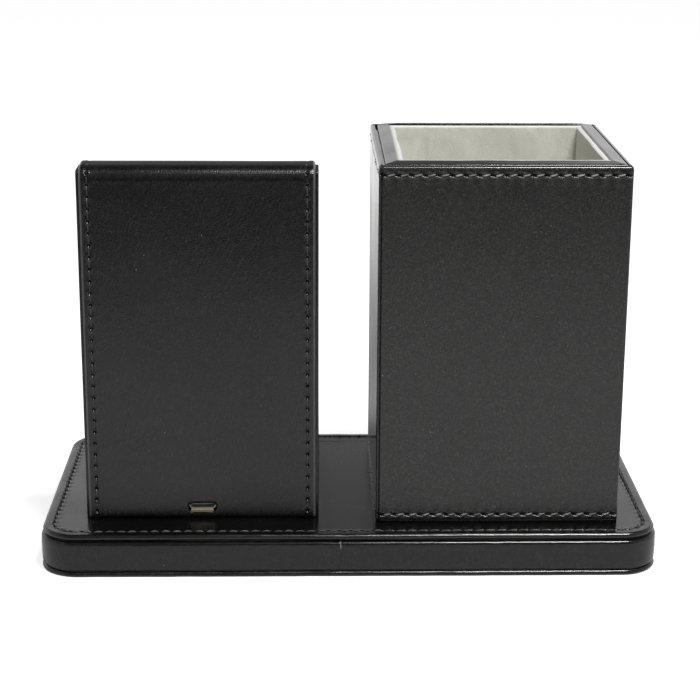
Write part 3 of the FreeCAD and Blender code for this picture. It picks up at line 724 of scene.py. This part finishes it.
def build_pad():
    """The top leather, its edge rolled under into the groove above the band."""
    low, high = box("base_top_pad")
    points, inward = rounded_outline(low[:2] + PAD_INSET, high[:2] - PAD_INSET, BASE_CORNER - PAD_INSET, FINE)
    reach = BASE_STITCH_INSET
    holes = even_holes(points + inward * reach, BASE_STITCH_PITCH)
    ways = unit(np.roll(holes, -1, axis=0) - np.roll(holes, 1, axis=0))
    wall = BAND_THICKNESS - PAD_INSET - TINY
    back = GROOVE_BACK - PAD_INSET
    foot = low[2] - GROOVE_FILL
    steps = [(PAD_LAP, low[2]), (wall, low[2]), (wall, foot), (back, foot)]
    steps += [step for step in lower_roll(low[2], PAD_ROLL_UNDER, UNDER_POINTS) if step[0] < back]
    steps += pressed_roll(high[2], PAD_ROLL_TOP)
    insets = [np.arange(PAD_ROLL_TOP + CLOSE, reach - PAD_ZONE[1], CLOSE),
              np.arange(reach - PAD_ZONE[0], reach + PAD_ZONE[1], SEAM_STEP), np.add(reach, PAD_INNER)]
    steps += [(inset, high[2]) for inset in np.concatenate(insets)]
    loops = []
    for inset, level in steps:
        loop = flat_loop(points, inward, inset, level)
        if level > high[2] - PAD_ROLL_TOP / 2:
            loop[:, 2] += bead(inset, reach, PAD_BEAD) + valley(inset - reach, PAD_VALLEY)
            loop[:, 2] += dimples(loop[:, :2], holes, ways, **PAD_HOLE)
        uneven = ripple(loop, *PAD_EDGE_WAVE) * (inset < reach)
        loop[:, 2] += uneven + ripple(loop, *PAD_WAVE) * (loop[:, 2] > low[2] + PAD_FOOT)
        loops.append(loop)
    layered_piece("base_top_leather", loops, PAD_LEATHER, "base_top_pad")
    seam = np.column_stack([holes, np.full(len(holes), high[2])])
    seams = [(seam, np.tile(UP, (len(seam), 1)), True)]
    build_stitches("base_stitches", seams, PAD_THREAD, "base_pad_leather", **PAD_STITCH)


def build_band():
    """The strip round the base's edge, with a butt seam near the middle of the back."""
    low, high = box("base_edge_band")
    seam_marks = BAND_SEAM_X + np.array(BAND_SEAM_MARKS) * BAND_SEAM_HALF
    points, inward = rounded_outline(low[:2], high[:2], BASE_CORNER, PLAIN, seam_marks)
    beside = np.where(points[:, 1] < 0, np.abs(points[:, 0] - BAND_SEAM_X), np.inf)
    groove = BAND_SEAM_DEPTH * np.exp(-(beside / (BAND_SEAM_REACH * BAND_SEAM_HALF)) ** 2)
    rise = np.linspace(low[2] + BAND_ROLL, high[2] - BAND_ROLL, BAND_ROWS)[1:-1]
    share = (rise - low[2]) / (high[2] - low[2])
    outer = lower_roll(low[2], BAND_ROLL)
    outer += list(zip(-BAND_BULGE * np.sin(math.pi * share), rise))
    outer += pressed_roll(high[2], BAND_ROLL)
    loops = [flat_loop(points, inward, BAND_THICKNESS, low[2])]
    for inset, level in outer:
        loop = flat_loop(points, inward, inset + groove * (1 - inset / BAND_THICKNESS), level)
        uneven = ripple(loop * LOW_WAVES, *BAND_EDGE_WAVE) + ripple(loop, *BAND_WAVE)
        loop[:, :2] += inward * uneven[:, None]
        loops.append(loop)
    loops.append(flat_loop(points, inward, BAND_THICKNESS, high[2]))
    shape = Shape()
    shape.stack(loops, closed=True)
    corners = np.array(shape.points)[np.array(shape.faces)]
    beside = np.abs(corners[..., 0] - BAND_SEAM_X).mean(axis=1)
    _, depth, level = corners.mean(axis=1).T
    pale = (depth < 0) & (beside < BAND_SEAM_CORE * BAND_SEAM_HALF) & (level > high[2] - BAND_SEAM_PALE)
    shape.finishes = pale.astype(int).tolist()
    finish_piece("base_edge_leather", shape, [BAND_LEATHER, PALE_EDGE],
                 ["base_edge_band"])


def build_underside():
    """The bottom leather, which fills the groove below the band."""
    low, high = box("base_bottom_cover")
    points, inward = rounded_outline(low[:2], high[:2], BASE_CORNER, PLAIN)
    wall = BAND_THICKNESS - TINY
    fill = high[2] + GROOVE_FILL
    steps = [(UNDER_LAP, low[2]), *lower_roll(low[2], UNDER_ROLL), *pressed_roll(high[2], UNDER_ROLL)]
    steps += [(GROOVE_BACK, high[2]), (GROOVE_BACK, fill), (wall, fill), (wall, high[2])]
    steps.append((UNDER_LAP, high[2]))
    loops = []
    for inset, level in steps:
        loop = flat_loop(points, inward, inset, level)
        if inset < UNDER_EDGE:
            loop[:, :2] += inward * (ripple(loop * LOW_WAVES, *UNDER_WAVE) - UNDER_PROUD)[:, None]
        loops.append(loop)
    layered_piece("base_under_leather", loops, UNDER_LEATHER, "base_bottom_cover")


# Stitches

def build_stitches(name, seams, material, slot, radius, slant, gap, arch):
    """Thread from needle hole to needle hole along each seam: holes, surface normals, closed or not."""
    around = np.linspace(0, 2 * math.pi, THREAD_SIDES, endpoint=False)[:, None]
    share = np.linspace(THREAD_END, 1 - THREAD_END, THREAD_RINGS)
    bow = np.sin(math.pi * share) ** THREAD_BOW
    girth = radius * (THREAD_THIN + (1 - THREAD_THIN) * bow)
    shape = Shape()
    for holes, normals, closed in seams:
        for number in range(len(holes) if closed else len(holes) - 1):
            after = (number + 1) % len(holes)
            ahead = unit(holes[after] - holes[number])
            start, end = holes[number] + gap * ahead, holes[after] - gap * ahead
            up = unit(normals[number] + normals[after])
            across = np.cross(up, ahead)
            slack = random.normal(1, THREAD_SLACK)
            middle = start + np.outer(share, end - start) + np.outer(arch * slack * bow - THREAD_SUNK, up)
            middle = middle + np.outer(slant * slack * (2 * share - 1), across)
            ring = np.cos(around) * across + np.sin(around) * up
            shape.stack(middle[:, None] + ring * girth[:, None, None])
    finish_piece(name, shape, [material])


# Pen cup

def on_panel(origin, axes, across, up, lift=0.0):
    """Points of a panel from places across and up it and how far each stands out."""
    sideways, upward, out = axes
    return origin + across[..., None] * sideways + up[..., None] * upward + np.expand_dims(lift, -1) * out


def flat_panel(name, origin, axes, widths, heights, relief, thickness, material, node,
               taper=0.0, corner=0.0, back=None):
    """A panel with a shaped face and a plain or shaped back.

    Taper mitres its ends, and corner rounds its upper corners.
    """
    across, up = np.meshgrid(widths, heights, indexing="ij")
    lift = relief(across, up)
    middle = (widths[0] + widths[-1]) / 2
    half = (widths[-1] - widths[0]) / 2
    placed = middle + (across - middle) * (half - taper * up) / half
    if corner:
        high = np.clip((up - heights[-1]) / (2 * corner) + 1, 0, 1)
        up = up + high * roll(half - np.abs(across - middle), corner)
    shape = Shape()
    front = shape.add(on_panel(origin, axes, placed, up, lift))
    shape.grid(front)
    behind = np.full(up.shape, -thickness)
    if back:
        rear = shape.add(on_panel(origin, axes, placed, up, behind + back(across, up)))
        shape.grid(rear[:, ::-1])
        shape.bridge(border(front), border(rear))
    else:
        rear = shape.add(on_panel(origin, axes, *(border(part) for part in (placed, up, behind))))
        shape.bridge(border(front), rear)
        shape.cap(rear)
    finish_piece(name, shape, [material], [node])


def side_axes(side):
    """Across, up and outwards for one side of the cup, seen from outside."""
    out = np.array(CUP_SIDES[side], float)
    return np.cross(UP, out), UP, out


def outer_corner(low, high, axes):
    """The corner of a box at the start of a panel's width, at its foot and on its outer face."""
    sideways, _, out = axes
    half = (high - low) / 2
    corner = (low + high) / 2 - sideways * abs(half @ sideways) + out * abs(half @ out)
    corner[2] = low[2]
    return corner


def build_cup():
    seams = []
    for side in CUP_SIDES:
        axes = side_axes(side)
        seams += build_skin(side, axes)
        build_rim(side, axes)
        build_lining(side, axes)
    build_stitches("cup_stitches", seams, CUP_THREAD, "cup_leather", **CUP_STITCH)
    build_carpet()


def build_skin(side, axes):
    """The leather on one outer side, and its two stitch lines for the thread."""
    sideways, upward, out = axes
    low, high = box(f"cup_{side}_skin")
    if out[0]:
        low[1] -= CUP_SKIN_REACH
        high[1] += CUP_SKIN_REACH
    width, height, thickness = (abs((high - low) @ axis) for axis in axes)
    origin = outer_corner(low, high, axes)
    levels = (CUP_STITCH_RISE, height - CUP_STITCH_DROP)
    count = round((width - 2 * CUP_STITCH_END) / CUP_STITCH_PITCH)
    places = np.linspace(CUP_STITCH_END, width - CUP_STITCH_END, count + 1)
    holes = [np.array([place, level]) for level in levels for place in places]

    def relief(across, up):
        ends = np.minimum(across, width - across)
        lift = roll(ends, CUP_ROLL) + roll(up, CUP_ROLL) + roll(height - up, CUP_ROLL, PRESSED)
        lift = np.maximum(lift, -2 * CUP_ROLL)
        lift += bead(height - up, CUP_STITCH_DROP, CUP_BEAD_TOP) + bead(up, CUP_STITCH_RISE, CUP_BEAD_FOOT)
        lift += sum(valley(up - level, CUP_VALLEY) for level in levels)
        lift += dimples(np.stack([across, up], axis=-1), holes, [(1, 0)] * len(holes), **CUP_HOLE)
        lift -= CUP_SEAM_DEPTH * np.exp(-((across - CUP_SEAM_INSET) / CUP_SEAM_HALF) ** 2)
        place = on_panel(origin, axes, across, up)
        return lift + ripple(place, *CUP_WAVE) + ripple(place, *CUP_EDGE_WAVE) * np.exp(-ends)

    zones = [(level - SEAM_ZONE, level + SEAM_ZONE, SEAM_STEP) for level in levels]
    flat_panel(f"cup_{side}_leather", origin, axes, marks(width, CUP_ROLL, [CUP_SEAM_ZONE], FINE),
               marks(height, CUP_ROLL, zones), relief, thickness, CUP_LEATHER if out[1] else CUP_SIDE_LEATHER,
               f"cup_{side}_skin", corner=CUP_CORNER)
    normals = np.tile(out, (len(places), 1))
    return [(origin + np.outer(places, sideways) + level * upward, normals, False) for level in levels]


def build_rim(side, axes):
    """A mitred leather strip on top of a wall, with the leather running down into the groove outside it."""
    sideways, upward, out = axes
    low, high = box(f"cup_{side}_rim")
    gap = RIM_GAPS[side]
    deep = abs((high - low) @ out) + RIM_GROOVE - gap
    width = abs((high - low) @ sideways) + 2 * RIM_GROOVE
    corner = outer_corner(low, high, axes)
    corner[2] = high[2]
    corner += out * RIM_GROOVE - sideways * RIM_GROOVE
    strip = (sideways, -out, upward)

    def relief(across, up):
        inside = up - gap
        slope = np.clip(inside / RIM_ROLL + 1, 0, 1)
        lift = np.where(inside < 0, -RIM_GROOVE_DEPTH, roll(np.maximum(inside, 0), RIM_ROLL))
        lift += roll(deep - inside, RIM_ROLL)
        ends = np.minimum(across, width - across)
        hump = RIM_HUMPS.get(side, 0.0) * np.clip(ends / RIM_HUMP_REACH, 0, 1)
        lift += (np.interp(inside, [0, deep], RIM_RISE) + hump) * (inside >= 0)
        return lift + ripple(on_panel(corner, strip, across, up), *RIM_WAVE) * slope

    along, inward = RIM_STEPS
    rows = np.concatenate([[0, gap * RIM_GROOVE_WALL], gap + marks(deep, RIM_ROLL, step=inward)])
    flat_panel(f"cup_{side}_rim_leather", corner, strip, marks(width, TINY, step=along), np.unique(rows),
               relief, high[2] - low[2], RIM_LEATHER, f"cup_{side}_rim", taper=1.0)


def build_lining(side, axes):
    """A velvet panel inside a wall, rounded and a little ragged along its top."""
    sideways, upward, out = axes
    low, high = box(f"cup_{side}_lining")
    width, height, thickness = (abs((high - low) @ axis) for axis in axes)
    height += VELVET_RISE
    inner = (-sideways, upward, -out)
    origin = outer_corner(low, high, inner)

    def relief(across, up):
        place = on_panel(origin, inner, across, up)
        ragged = ripple(place, *VELVET_RAGGED_WAVE) * np.exp(-(height - up) / VELVET_RAGGED)
        uneven = ripple(place, *VELVET_WAVE) + ripple(place, *VELVET_TUFT_WAVE)
        return roll(height - up, VELVET_ROLL) + ragged + uneven

    def back(across, up):
        return -roll(height - up, VELVET_ROLL)

    across_step, up_step = VELVET_STEPS
    top = (height - VELVET_TOP, height, VELVET_TOP_STEP)
    flat_panel(f"cup_{side}_velvet", origin, inner, marks(width, TINY, step=across_step),
               marks(height, VELVET_ROLL, [top], up_step), relief, thickness,
               VELVET, f"cup_{side}_lining", back=back)


def build_carpet():
    """The velvet on the cup's floor."""
    low, high = box("cup_floor_lining")
    origin = np.array([low[0], low[1], high[2]])
    axes = np.eye(3)
    width, depth, thickness = high - low

    def relief(across, up):
        place = on_panel(origin, axes, across, up)
        return ripple(place, *CARPET_WAVE) + ripple(place, *CARPET_TUFT_WAVE) - CARPET_SUNK

    flat_panel("cup_floor_velvet", origin, axes, marks(width, TINY, step=CARPET_STEP),
               marks(depth, TINY, step=CARPET_STEP), relief, thickness,
               VELVET, "cup_floor_lining")


# Phone stand

def straight(start, end, step):
    share = np.linspace(0, 1, math.ceil(np.linalg.norm(end - start) / step) + 1)
    return start + np.outer(share, end - start)


def folded_path(corners, radius, step):
    """A line through corners with round folds: points, outward normals and distance along it."""
    pieces = []
    start = corners[0]
    for before, corner, after in zip(corners[:-2], corners[1:-1], corners[2:]):
        ahead, onward = unit(corner - before), unit(after - corner)
        turn = math.acos(ahead @ onward)
        reach = radius * math.tan(turn / 2)
        into = corner - ahead * reach
        arm = radius * np.array([-ahead[1], ahead[0]])
        angles = np.linspace(0, turn, FOLD_POINTS)[1:-1]
        pieces.append(straight(start, into, step))
        pieces.append(into - arm + np.outer(np.cos(angles), arm) + np.outer(np.sin(angles), ahead * radius))
        start = corner + onward * reach
    pieces.append(straight(start, corners[-1], step))
    points = np.vstack(pieces)
    ways = unit(np.gradient(points, axis=0))
    normals = np.column_stack([-ways[:, 1], ways[:, 0]])
    return points, normals, running(np.linalg.norm(np.diff(points, axis=0), axis=1))


def cover_corners(drop=0.0):
    """Foot of the back, both ridge corners and the lower edge of the front, in side view."""
    deck = box("base_top_pad")[1][2]
    top = box("stand_cover")[1][2] - drop
    shelf = box("phone_shelf")[1][2]
    slope = (STAND_FOOT - STAND_LEAN - STAND_RIDGE) / (top - deck)
    front = STAND_FOOT_Y + STAND_FOOT - slope * (shelf - deck)
    return np.array([(STAND_FOOT_Y, deck), (STAND_FOOT_Y + STAND_LEAN, top),
                     (STAND_FOOT_Y + STAND_LEAN + STAND_RIDGE, top), (front, shelf)])


def resampled(path, places):
    """A path's points and normals at given distances along it."""
    points, normals, along = path
    return followed(places, along, points), unit(followed(places, along, normals))


def port_outline(places):
    """Points of the socket's cut-out in the direction of each given point from its middle."""
    ways = unit(places)
    half = np.array([PORT_WIDTH, PORT_TALL]) / 2 - PORT_CORNER
    near, far = np.zeros(len(ways)), np.full(len(ways), PORT_WIDTH)
    for _ in range(PORT_HALVINGS):
        middle = (near + far) / 2
        past = np.abs(ways * middle[:, None]) - half
        distance = np.linalg.norm(np.maximum(past, 0), axis=1) + np.minimum(past.max(axis=1), 0)
        outside = distance > PORT_CORNER
        near, far = np.where(outside, near, middle), np.where(outside, middle, far)
    return ways * near[:, None]


def raised(edge, rise):
    """The cut-out's outline with the middle of its lower half drawn up."""
    low = np.clip(-2 * edge[:, 1] / PORT_TALL, 0, 1)
    inner = np.clip((PORT_WIDTH / 2 - np.abs(edge[:, 0])) / PORT_CORNER, 0, 1)
    return edge + np.column_stack([np.zeros(len(edge)), rise * low * inner])


def build_cover():
    """One leather sheet folded over back, ridge and front, with the socket's cut-out near its foot."""
    low, high = box("stand_cover")
    middle = (low[0] + high[0]) / 2
    half = (high[0] - low[0]) / 2
    path = folded_path(cover_corners(RIDGE_DROP), SOFT_FOLD, COVER_STEP)
    levels, lengths = path[0][:, 1], path[2]
    total = lengths[-1]
    ridge = lengths[levels > levels.max() - TINY].mean()
    lines = (-half + STAND_STITCH_INSET, half - STAND_STITCH_INSET)
    holes_at = np.arange(STAND_STITCH_START, total - STAND_STITCH_END, STAND_STITCH_PITCH)
    holes = [np.array([line, place]) for line in lines for place in holes_at]

    def outside(across, along, sunk=0.0):
        """Points of the leather's outer face."""
        spots, ways = resampled(path, along)
        place = np.column_stack([across, spots])
        ends = half - np.abs(across)
        lift = roll(ends, COVER_ROLL, PRESSED) + roll(along, HEM_ROLL) + roll(total - along, COVER_ROLL)
        lift += bead(ends, STAND_STITCH_INSET, COVER_BEAD) + valley(ends - STAND_STITCH_INSET, COVER_VALLEY)
        lift += RIDGE_CROWN * np.exp(-((along - ridge) / RIDGE_REACH) ** 2)
        lift += FOOT_FLARE * np.exp(-(along / FOOT_REACH) ** 2) - sunk
        lift += dimples(np.column_stack([across, along]), holes, [(0, 1)] * len(holes), **STAND_HOLE)
        lift += ripple(place, *COVER_WAVE) + ripple(place, *COVER_EDGE_WAVE) * np.exp(-ends)
        return np.column_stack([middle + across, spots + ways * lift[:, None]])

    def inside(across, along, depth=COVER_THICKNESS):
        """Points at a depth below the flat of the leather."""
        spots, ways = resampled(path, along)
        return np.column_stack([middle + across, spots - ways * depth])

    zones = [(half + line - SEAM_ZONE, half + line + SEAM_ZONE, SEAM_STEP) for line in lines]
    zones.append((half - PORT_WINDOW, half + PORT_WINDOW, PORT_STEP))
    columns = marks(2 * half, COVER_ROLL, zones) - half
    rows = [lengths, roll_marks(HEM_ROLL), total - roll_marks(COVER_ROLL),
            np.add.outer(holes_at, np.arange(*HOLE_ZONE)).ravel(),
            np.arange(ridge - RIDGE_ZONE, ridge + RIDGE_ZONE, FINE), np.arange(*FOOT_ZONE),
            [PORT_WINDOW_FOOT, PORT_WINDOW_TOP]]
    rows = np.unique(np.concatenate(rows).round(3))
    across, along = np.meshgrid(columns, rows, indexing="ij")
    picked = np.where(np.abs(columns) < PORT_WINDOW + TINY)[0]
    held = np.where((rows > PORT_WINDOW_FOOT - TINY) & (rows < PORT_WINDOW_TOP + TINY))[0]
    window = np.ix_(picked, held)
    skip = np.zeros((len(columns) - 1, len(rows) - 1), bool)
    skip[picked[0]:picked[-1], held[0]:held[-1]] = True
    spots = border(np.stack([across, along], axis=-1)[window])
    centre = np.array([0, PORT_LEVEL])
    edge = port_outline(spots - centre)

    shape = Shape()
    outer, inner = (shape.add(face(across.ravel(), along.ravel()).reshape(*across.shape, 3))
                    for face in (outside, inside))
    # Along its side edges the cover takes the pale edge leather: wear with a painted highlight
    rubbed = half - np.abs(columns[:-1] + columns[1:]) / 2 < COVER_ROLL
    shape.grid(outer, skip, np.repeat(np.where(rubbed, WORN_AND_HIGHLIT, 0), len(rows) - 1))
    shape.grid(inner, skip)
    shape.bridge(border(outer), border(inner))
    loop = border(outer[window])
    for share, sunk in PORT_RINGS:
        step = spots + (edge + centre - spots) * share
        ring = shape.add(outside(*step.T, sunk))
        shape.bridge(loop, ring)
        loop = ring
    glued = (edge[:, 1] < 0) & (np.abs(edge[:, 0]) < PORT_GLUED)
    for share, finish in PORT_CUT:
        step = raised(edge, PORT_LIP * share) + centre
        ring = shape.add(inside(*step.T, COVER_THICKNESS * share))
        shape.bridge(loop, ring, np.where(glued, finish, 0))
        loop = ring
    shape.bridge(loop, border(inner[window]))
    finish_piece("stand_cover_leather", shape, [STAND_LEATHER, RAW_EDGE, GLUED_EDGE, WORN_EDGE_AND_HIGHLIGHT],
                 ["stand_cover"])

    spots, ways = resampled(path, holes_at)
    normals = np.column_stack([np.zeros(len(ways)), ways])
    seams = [(np.column_stack([np.full(len(spots), middle + line), spots]), normals, False) for line in lines]
    build_stitches("stand_stitches", seams, STAND_THREAD, "stand_leather", **STAND_STITCH)


def side_outline(corners, radius, step=PLATE_STEP):
    """A closed side outline with its two upper corners rounded, and the way inwards at each point."""
    points, _, _ = folded_path(corners, radius, step)
    foot = straight(corners[-1], corners[0], step)[1:-1]
    points = np.vstack([points, foot])
    first = unit(points - np.roll(points, 1, axis=0))
    second = unit(np.roll(points, -1, axis=0) - points)
    inward = unit(np.column_stack([first[:, 1] + second[:, 1], -first[:, 0] - second[:, 0]]))
    opening = np.einsum("ij,ij->i", inward, np.column_stack([first[:, 1], -first[:, 0]]))
    return points, inward / np.maximum(opening, SHARPEST_CORNER)[:, None]


def side_plate(name, outline, ends, rolls, material, node):
    """A plate with a side outline, drawn out along X and rolled round its ends."""
    points, inward = outline
    loops = []
    for inset, x in lower_roll(ends[0], rolls[0]) + upper_roll(ends[1], rolls[1]):
        loop = np.column_stack([np.full(len(points), x), points + inward * inset])
        loop[:, 0] += ripple(loop, *PLATE_WAVE)
        loops.append(loop)
    layered_piece(name, loops, material, node)


def build_stand():
    build_cover()
    corners = cover_corners()
    deck = corners[0, 1]
    slopes = [(corners[1, 0] - corners[0, 0]) / (corners[1, 1] - deck),
              (corners[3, 0] - corners[2, 0]) / (corners[2, 1] - corners[3, 1])]
    insets = [COVER_THICKNESS * math.hypot(1, slope) for slope in slopes]
    top = corners[1, 1] - COVER_THICKNESS

    def rear(level):
        return corners[0, 0] + slopes[0] * (level - deck) + insets[0]

    def front(level):
        return corners[2, 0] + slopes[1] * (corners[2, 1] - level) - insets[1]

    core = np.array([(rear(deck), deck), (rear(top), top), (front(top), top), (front(deck), deck)])
    outline = side_outline(core, FOLD_RADIUS - COVER_THICKNESS)
    for side, rolls in (("left", (SKIN_ROLL, HIDDEN_ROLL)), ("right", (HIDDEN_ROLL, SKIN_ROLL))):
        node = f"stand_{side}_skin"
        low, high = box(node)
        side_plate(f"stand_{side}_leather", outline, (low[0], high[0]), rolls,
                   SIDE_LEATHER, node)

    low, high = box("phone_shelf")
    shelf = np.array([(front(deck), deck), (front(high[2]), high[2] - SHELF_TILT), (high[1], high[2]),
                      (high[1], deck)])
    side_plate("ledge_shelf_leather", side_outline(shelf, SHELF_FOLD), (low[0], high[0]),
               (LEDGE_ROLL / 2, LEDGE_ROLL / 2), LEDGE_LEATHER, "phone_shelf")
    low, high = box("phone_lip")
    lip = np.array([(low[1], deck), (low[1], high[2]), (high[1], high[2]), (high[1], deck)])
    side_plate("ledge_lip_leather", side_outline(lip, LIP_FOLD, LIP_STEP), (low[0], high[0]),
               (LEDGE_ROLL, LEDGE_ROLL), LEDGE_LEATHER, "phone_lip")


# Materials of the CAD nodes that show as they are, by their slots

def dress_frame():
    finishes = {
        "fibreboard": mottled("raw_fibreboard", (0.30, 0.20, 0.11), (0.46, 0.34, 0.21), 1.2, 0.85, 0.1),
        # The socket's shell is partly diffuse and near white: a painted glint standing in for the shine of
        # nickel
        "socket_steel": metal("socket_nickel_with_painted_glint", (0.86, 0.85, 0.82), (0.97, 0.96, 0.94), 0.4, 0.4),
        "socket_plastic": socket_insulator("socket_insulator", -31.9, -31.6),
        "circuit_laminate": mottled("green_laminate", (0.010, 0.11, 0.035), (0.03, 0.19, 0.07), 3.0, 0.35),
        "chip_plastic": mottled("chip_black", (0.012, 0.012, 0.013), (0.035, 0.035, 0.036), 0.8, 0.55),
        "spacer_nylon": mottled("natural_nylon", (0.62, 0.61, 0.56), (0.80, 0.79, 0.74), 2.0, 0.45),
        "coil_copper": metal("enamelled_copper", (0.55, 0.22, 0.09), (0.80, 0.40, 0.20), 0.3),
        "lead_sleeve": mottled("red_sleeve", (0.35, 0.02, 0.015), (0.55, 0.04, 0.03), 1.5, 0.4),
        "ferrite": mottled("ferrite_sheet", (0.035, 0.035, 0.038), (0.075, 0.074, 0.078), 0.8, 0.5, 0.05),
        "screw_steel": metal("zinc_plate", (0.48, 0.48, 0.46), (0.72, 0.72, 0.70), 0.32),
    }
    for row in frame["record"]["subparts"]:
        material = finishes.get(row["material_slot"])
        if material:
            node = frame["nodes"][row["node"]]
            for slot in node.material_slots:
                slot.material = material


# Stage, in metres: lamp and floor. A fade is where it starts and ends, then what it starts and ends with.
LAMP_POWER = 6.8
LAMP_PLACE = (0.225, -0.32, 0.85)
LAMP_TARGET = (0.02, 0, 0.08)
LAMP_SIZE = (0.32, 0.12)
WHITE = (1, 1, 1, 1)
AMBIENT = 0.3
FLOOR_FRONT = -0.5
FLOOR_FAR = 3.0
FLOOR_LIFT = 0.7
FLOOR_PAINT = (0.86, 0.86, 0.86)
# The floor's paint as gloss sees it is darkened just behind the part: a painted shadow
FLOOR_SHADED = (0.43, 0.43, 0.43)
FLOOR_SHINE = (0.2, 0.75, 0.0, 0.95)
SHADED_FROM = (0.0, 0.1, 0.0, 1.0)
SHADED_TO = (0.3, 0.6, 1.0, 0.0)

# What gloss shows of the studio, by direction: pale low down behind the part, with pale gaps higher up, pale
# to both sides, and a dim room in front
LOW_BACKDROP = (0.2, 0.28, 1.0, 0.0)
LEFT_GAP = (-0.105, -0.075, 1.0, 0.0)
MIDDLE_GAP = (-0.03, -0.01, 0.0, 0.3)
RIGHT_GAP = (0.07, 0.15, 0.0, 1.0)
GAP_TOP = (0.42, 0.55, 1.0, 0.1)
BEHIND = (-0.1, 0.4, 0.0, 1.0)
BESIDE = (0.3, 0.8, 0.05, 0.6)
ROOM = (-0.5, -0.1, 0.2, 0.0)
ROOM_FOOT = (0.0, 0.2, 0.0, 1.0)

# Fitted to the photograph's edges: place in millimetres, turns in radians, focal length in pixels
CAMERA_PLACE = (-13.1, -587.9, 235.9)
CAMERA_YAW = -0.0236
CAMERA_PITCH = 0.2886
CAMERA_ROLL = 0.0054
CAMERA_NEAR = 0.01
FOCAL_PIXELS = 1809.5
FRAME_PIXELS = 700


def bare_tree(owner):
    owner.use_nodes = True
    owner.node_tree.nodes.clear()
    return owner.node_tree


def light_paths(tree):
    """Camera rays, and rays that show the background in gloss or glass."""
    path = add_node("LightPath", {}, tree).outputs
    return path["Is Camera Ray"], most(path["Is Glossy Ray"], path["Is Transmission Ray"])


def build_floor():
    mesh = bpy.data.meshes.new("floor")
    corners = [(-FLOOR_FAR, FLOOR_FRONT, 0), (FLOOR_FAR, FLOOR_FRONT, 0), (FLOOR_FAR, FLOOR_FAR, 0),
               (-FLOOR_FAR, FLOOR_FAR, 0)]
    mesh.from_pydata(corners, [], [(0, 1, 2, 3)])
    floor = add_object("floor", mesh)
    material = bpy.data.materials.new("pale_floor")
    tree = bare_tree(material)
    seen, mirrored = light_paths(tree)
    depth = axes_of(add_node("NewGeometry", {}, tree).outputs["Position"])["Y"]
    shine = times(mirrored, ramp(depth, *FLOOR_SHINE))
    glow = plus(times(seen, FLOOR_LIFT), shine)
    # Painted shadow on the floor just behind the part, shown only in reflections
    shadow_in_reflections = times(ramp(depth, *SHADED_FROM), ramp(depth, *SHADED_TO))
    color = mix_colors(times(mirrored, shadow_in_reflections), FLOOR_PAINT, FLOOR_SHADED)
    paint = add_node("BsdfDiffuse", {"Color": color})
    lift = add_node("Emission", {"Color": WHITE, "Strength": glow})
    both = add_node("AddShader", {0: paint.outputs[0], 1: lift.outputs[0]})
    add_node("OutputMaterial", {"Surface": both.outputs[0]})
    mesh.materials.append(material)


def build_world():
    world = bpy.data.worlds.new("studio")
    bpy.context.scene.world = world
    tree = bare_tree(world)
    seen, mirrored = light_paths(tree)
    way = axes_of(add_node("TexCoord", {}, tree).outputs["Generated"])
    left, middle, right = (ramp(way["X"], *gap) for gap in (LEFT_GAP, MIDDLE_GAP, RIGHT_GAP))
    gaps = times(most(left, most(middle, right)), ramp(way["Z"], *GAP_TOP))
    backdrop = most(ramp(way["Z"], *LOW_BACKDROP), gaps)
    behind = times(ramp(way["Y"], *BEHIND), backdrop)
    beside = ramp(math_node("ABSOLUTE", way["X"]), *BESIDE)
    room = times(ramp(way["Y"], *ROOM), ramp(way["Z"], *ROOM_FOOT))
    shown = times(most(behind, most(beside, room)), mirrored)
    ambient = times(AMBIENT, math_node("SUBTRACT", 1.0, mirrored))
    level = most(seen, plus(ambient, shown))
    sky = add_node("Background", {"Color": WHITE, "Strength": level})
    add_node("OutputWorld", {"Surface": sky.outputs[0]})


def build_lamp():
    data = bpy.data.lights.new("lamp", "AREA")
    data.shape = "RECTANGLE"
    data.size, data.size_y = LAMP_SIZE
    data.energy = LAMP_POWER
    lamp = add_object("lamp", data)
    lamp.location = LAMP_PLACE
    lamp.rotation_euler = (Vector(LAMP_TARGET) - Vector(LAMP_PLACE)).to_track_quat("-Z", "Y").to_euler()
    lamp.visible_camera = False


def build_camera():
    data = bpy.data.cameras.new("camera")
    data.sensor_fit = "HORIZONTAL"
    data.lens = FOCAL_PIXELS * data.sensor_width / FRAME_PIXELS
    data.clip_start = CAMERA_NEAR
    camera = add_object("camera", data)
    turn = Matrix.Rotation(CAMERA_YAW, 4, "Z") @ Matrix.Rotation(math.pi / 2 - CAMERA_PITCH, 4, "X")
    turn = turn @ Matrix.Rotation(CAMERA_ROLL, 4, "Z")
    camera.matrix_world = Matrix.Translation(Vector(CAMERA_PLACE) * MM) @ turn
    bpy.context.scene.camera = camera


build_pad()
build_band()
build_underside()
build_cup()
build_stand()
dress_frame()
build_floor()
build_world()
build_lamp()
build_camera()
bpy.context.scene.view_settings.view_transform = "Standard"
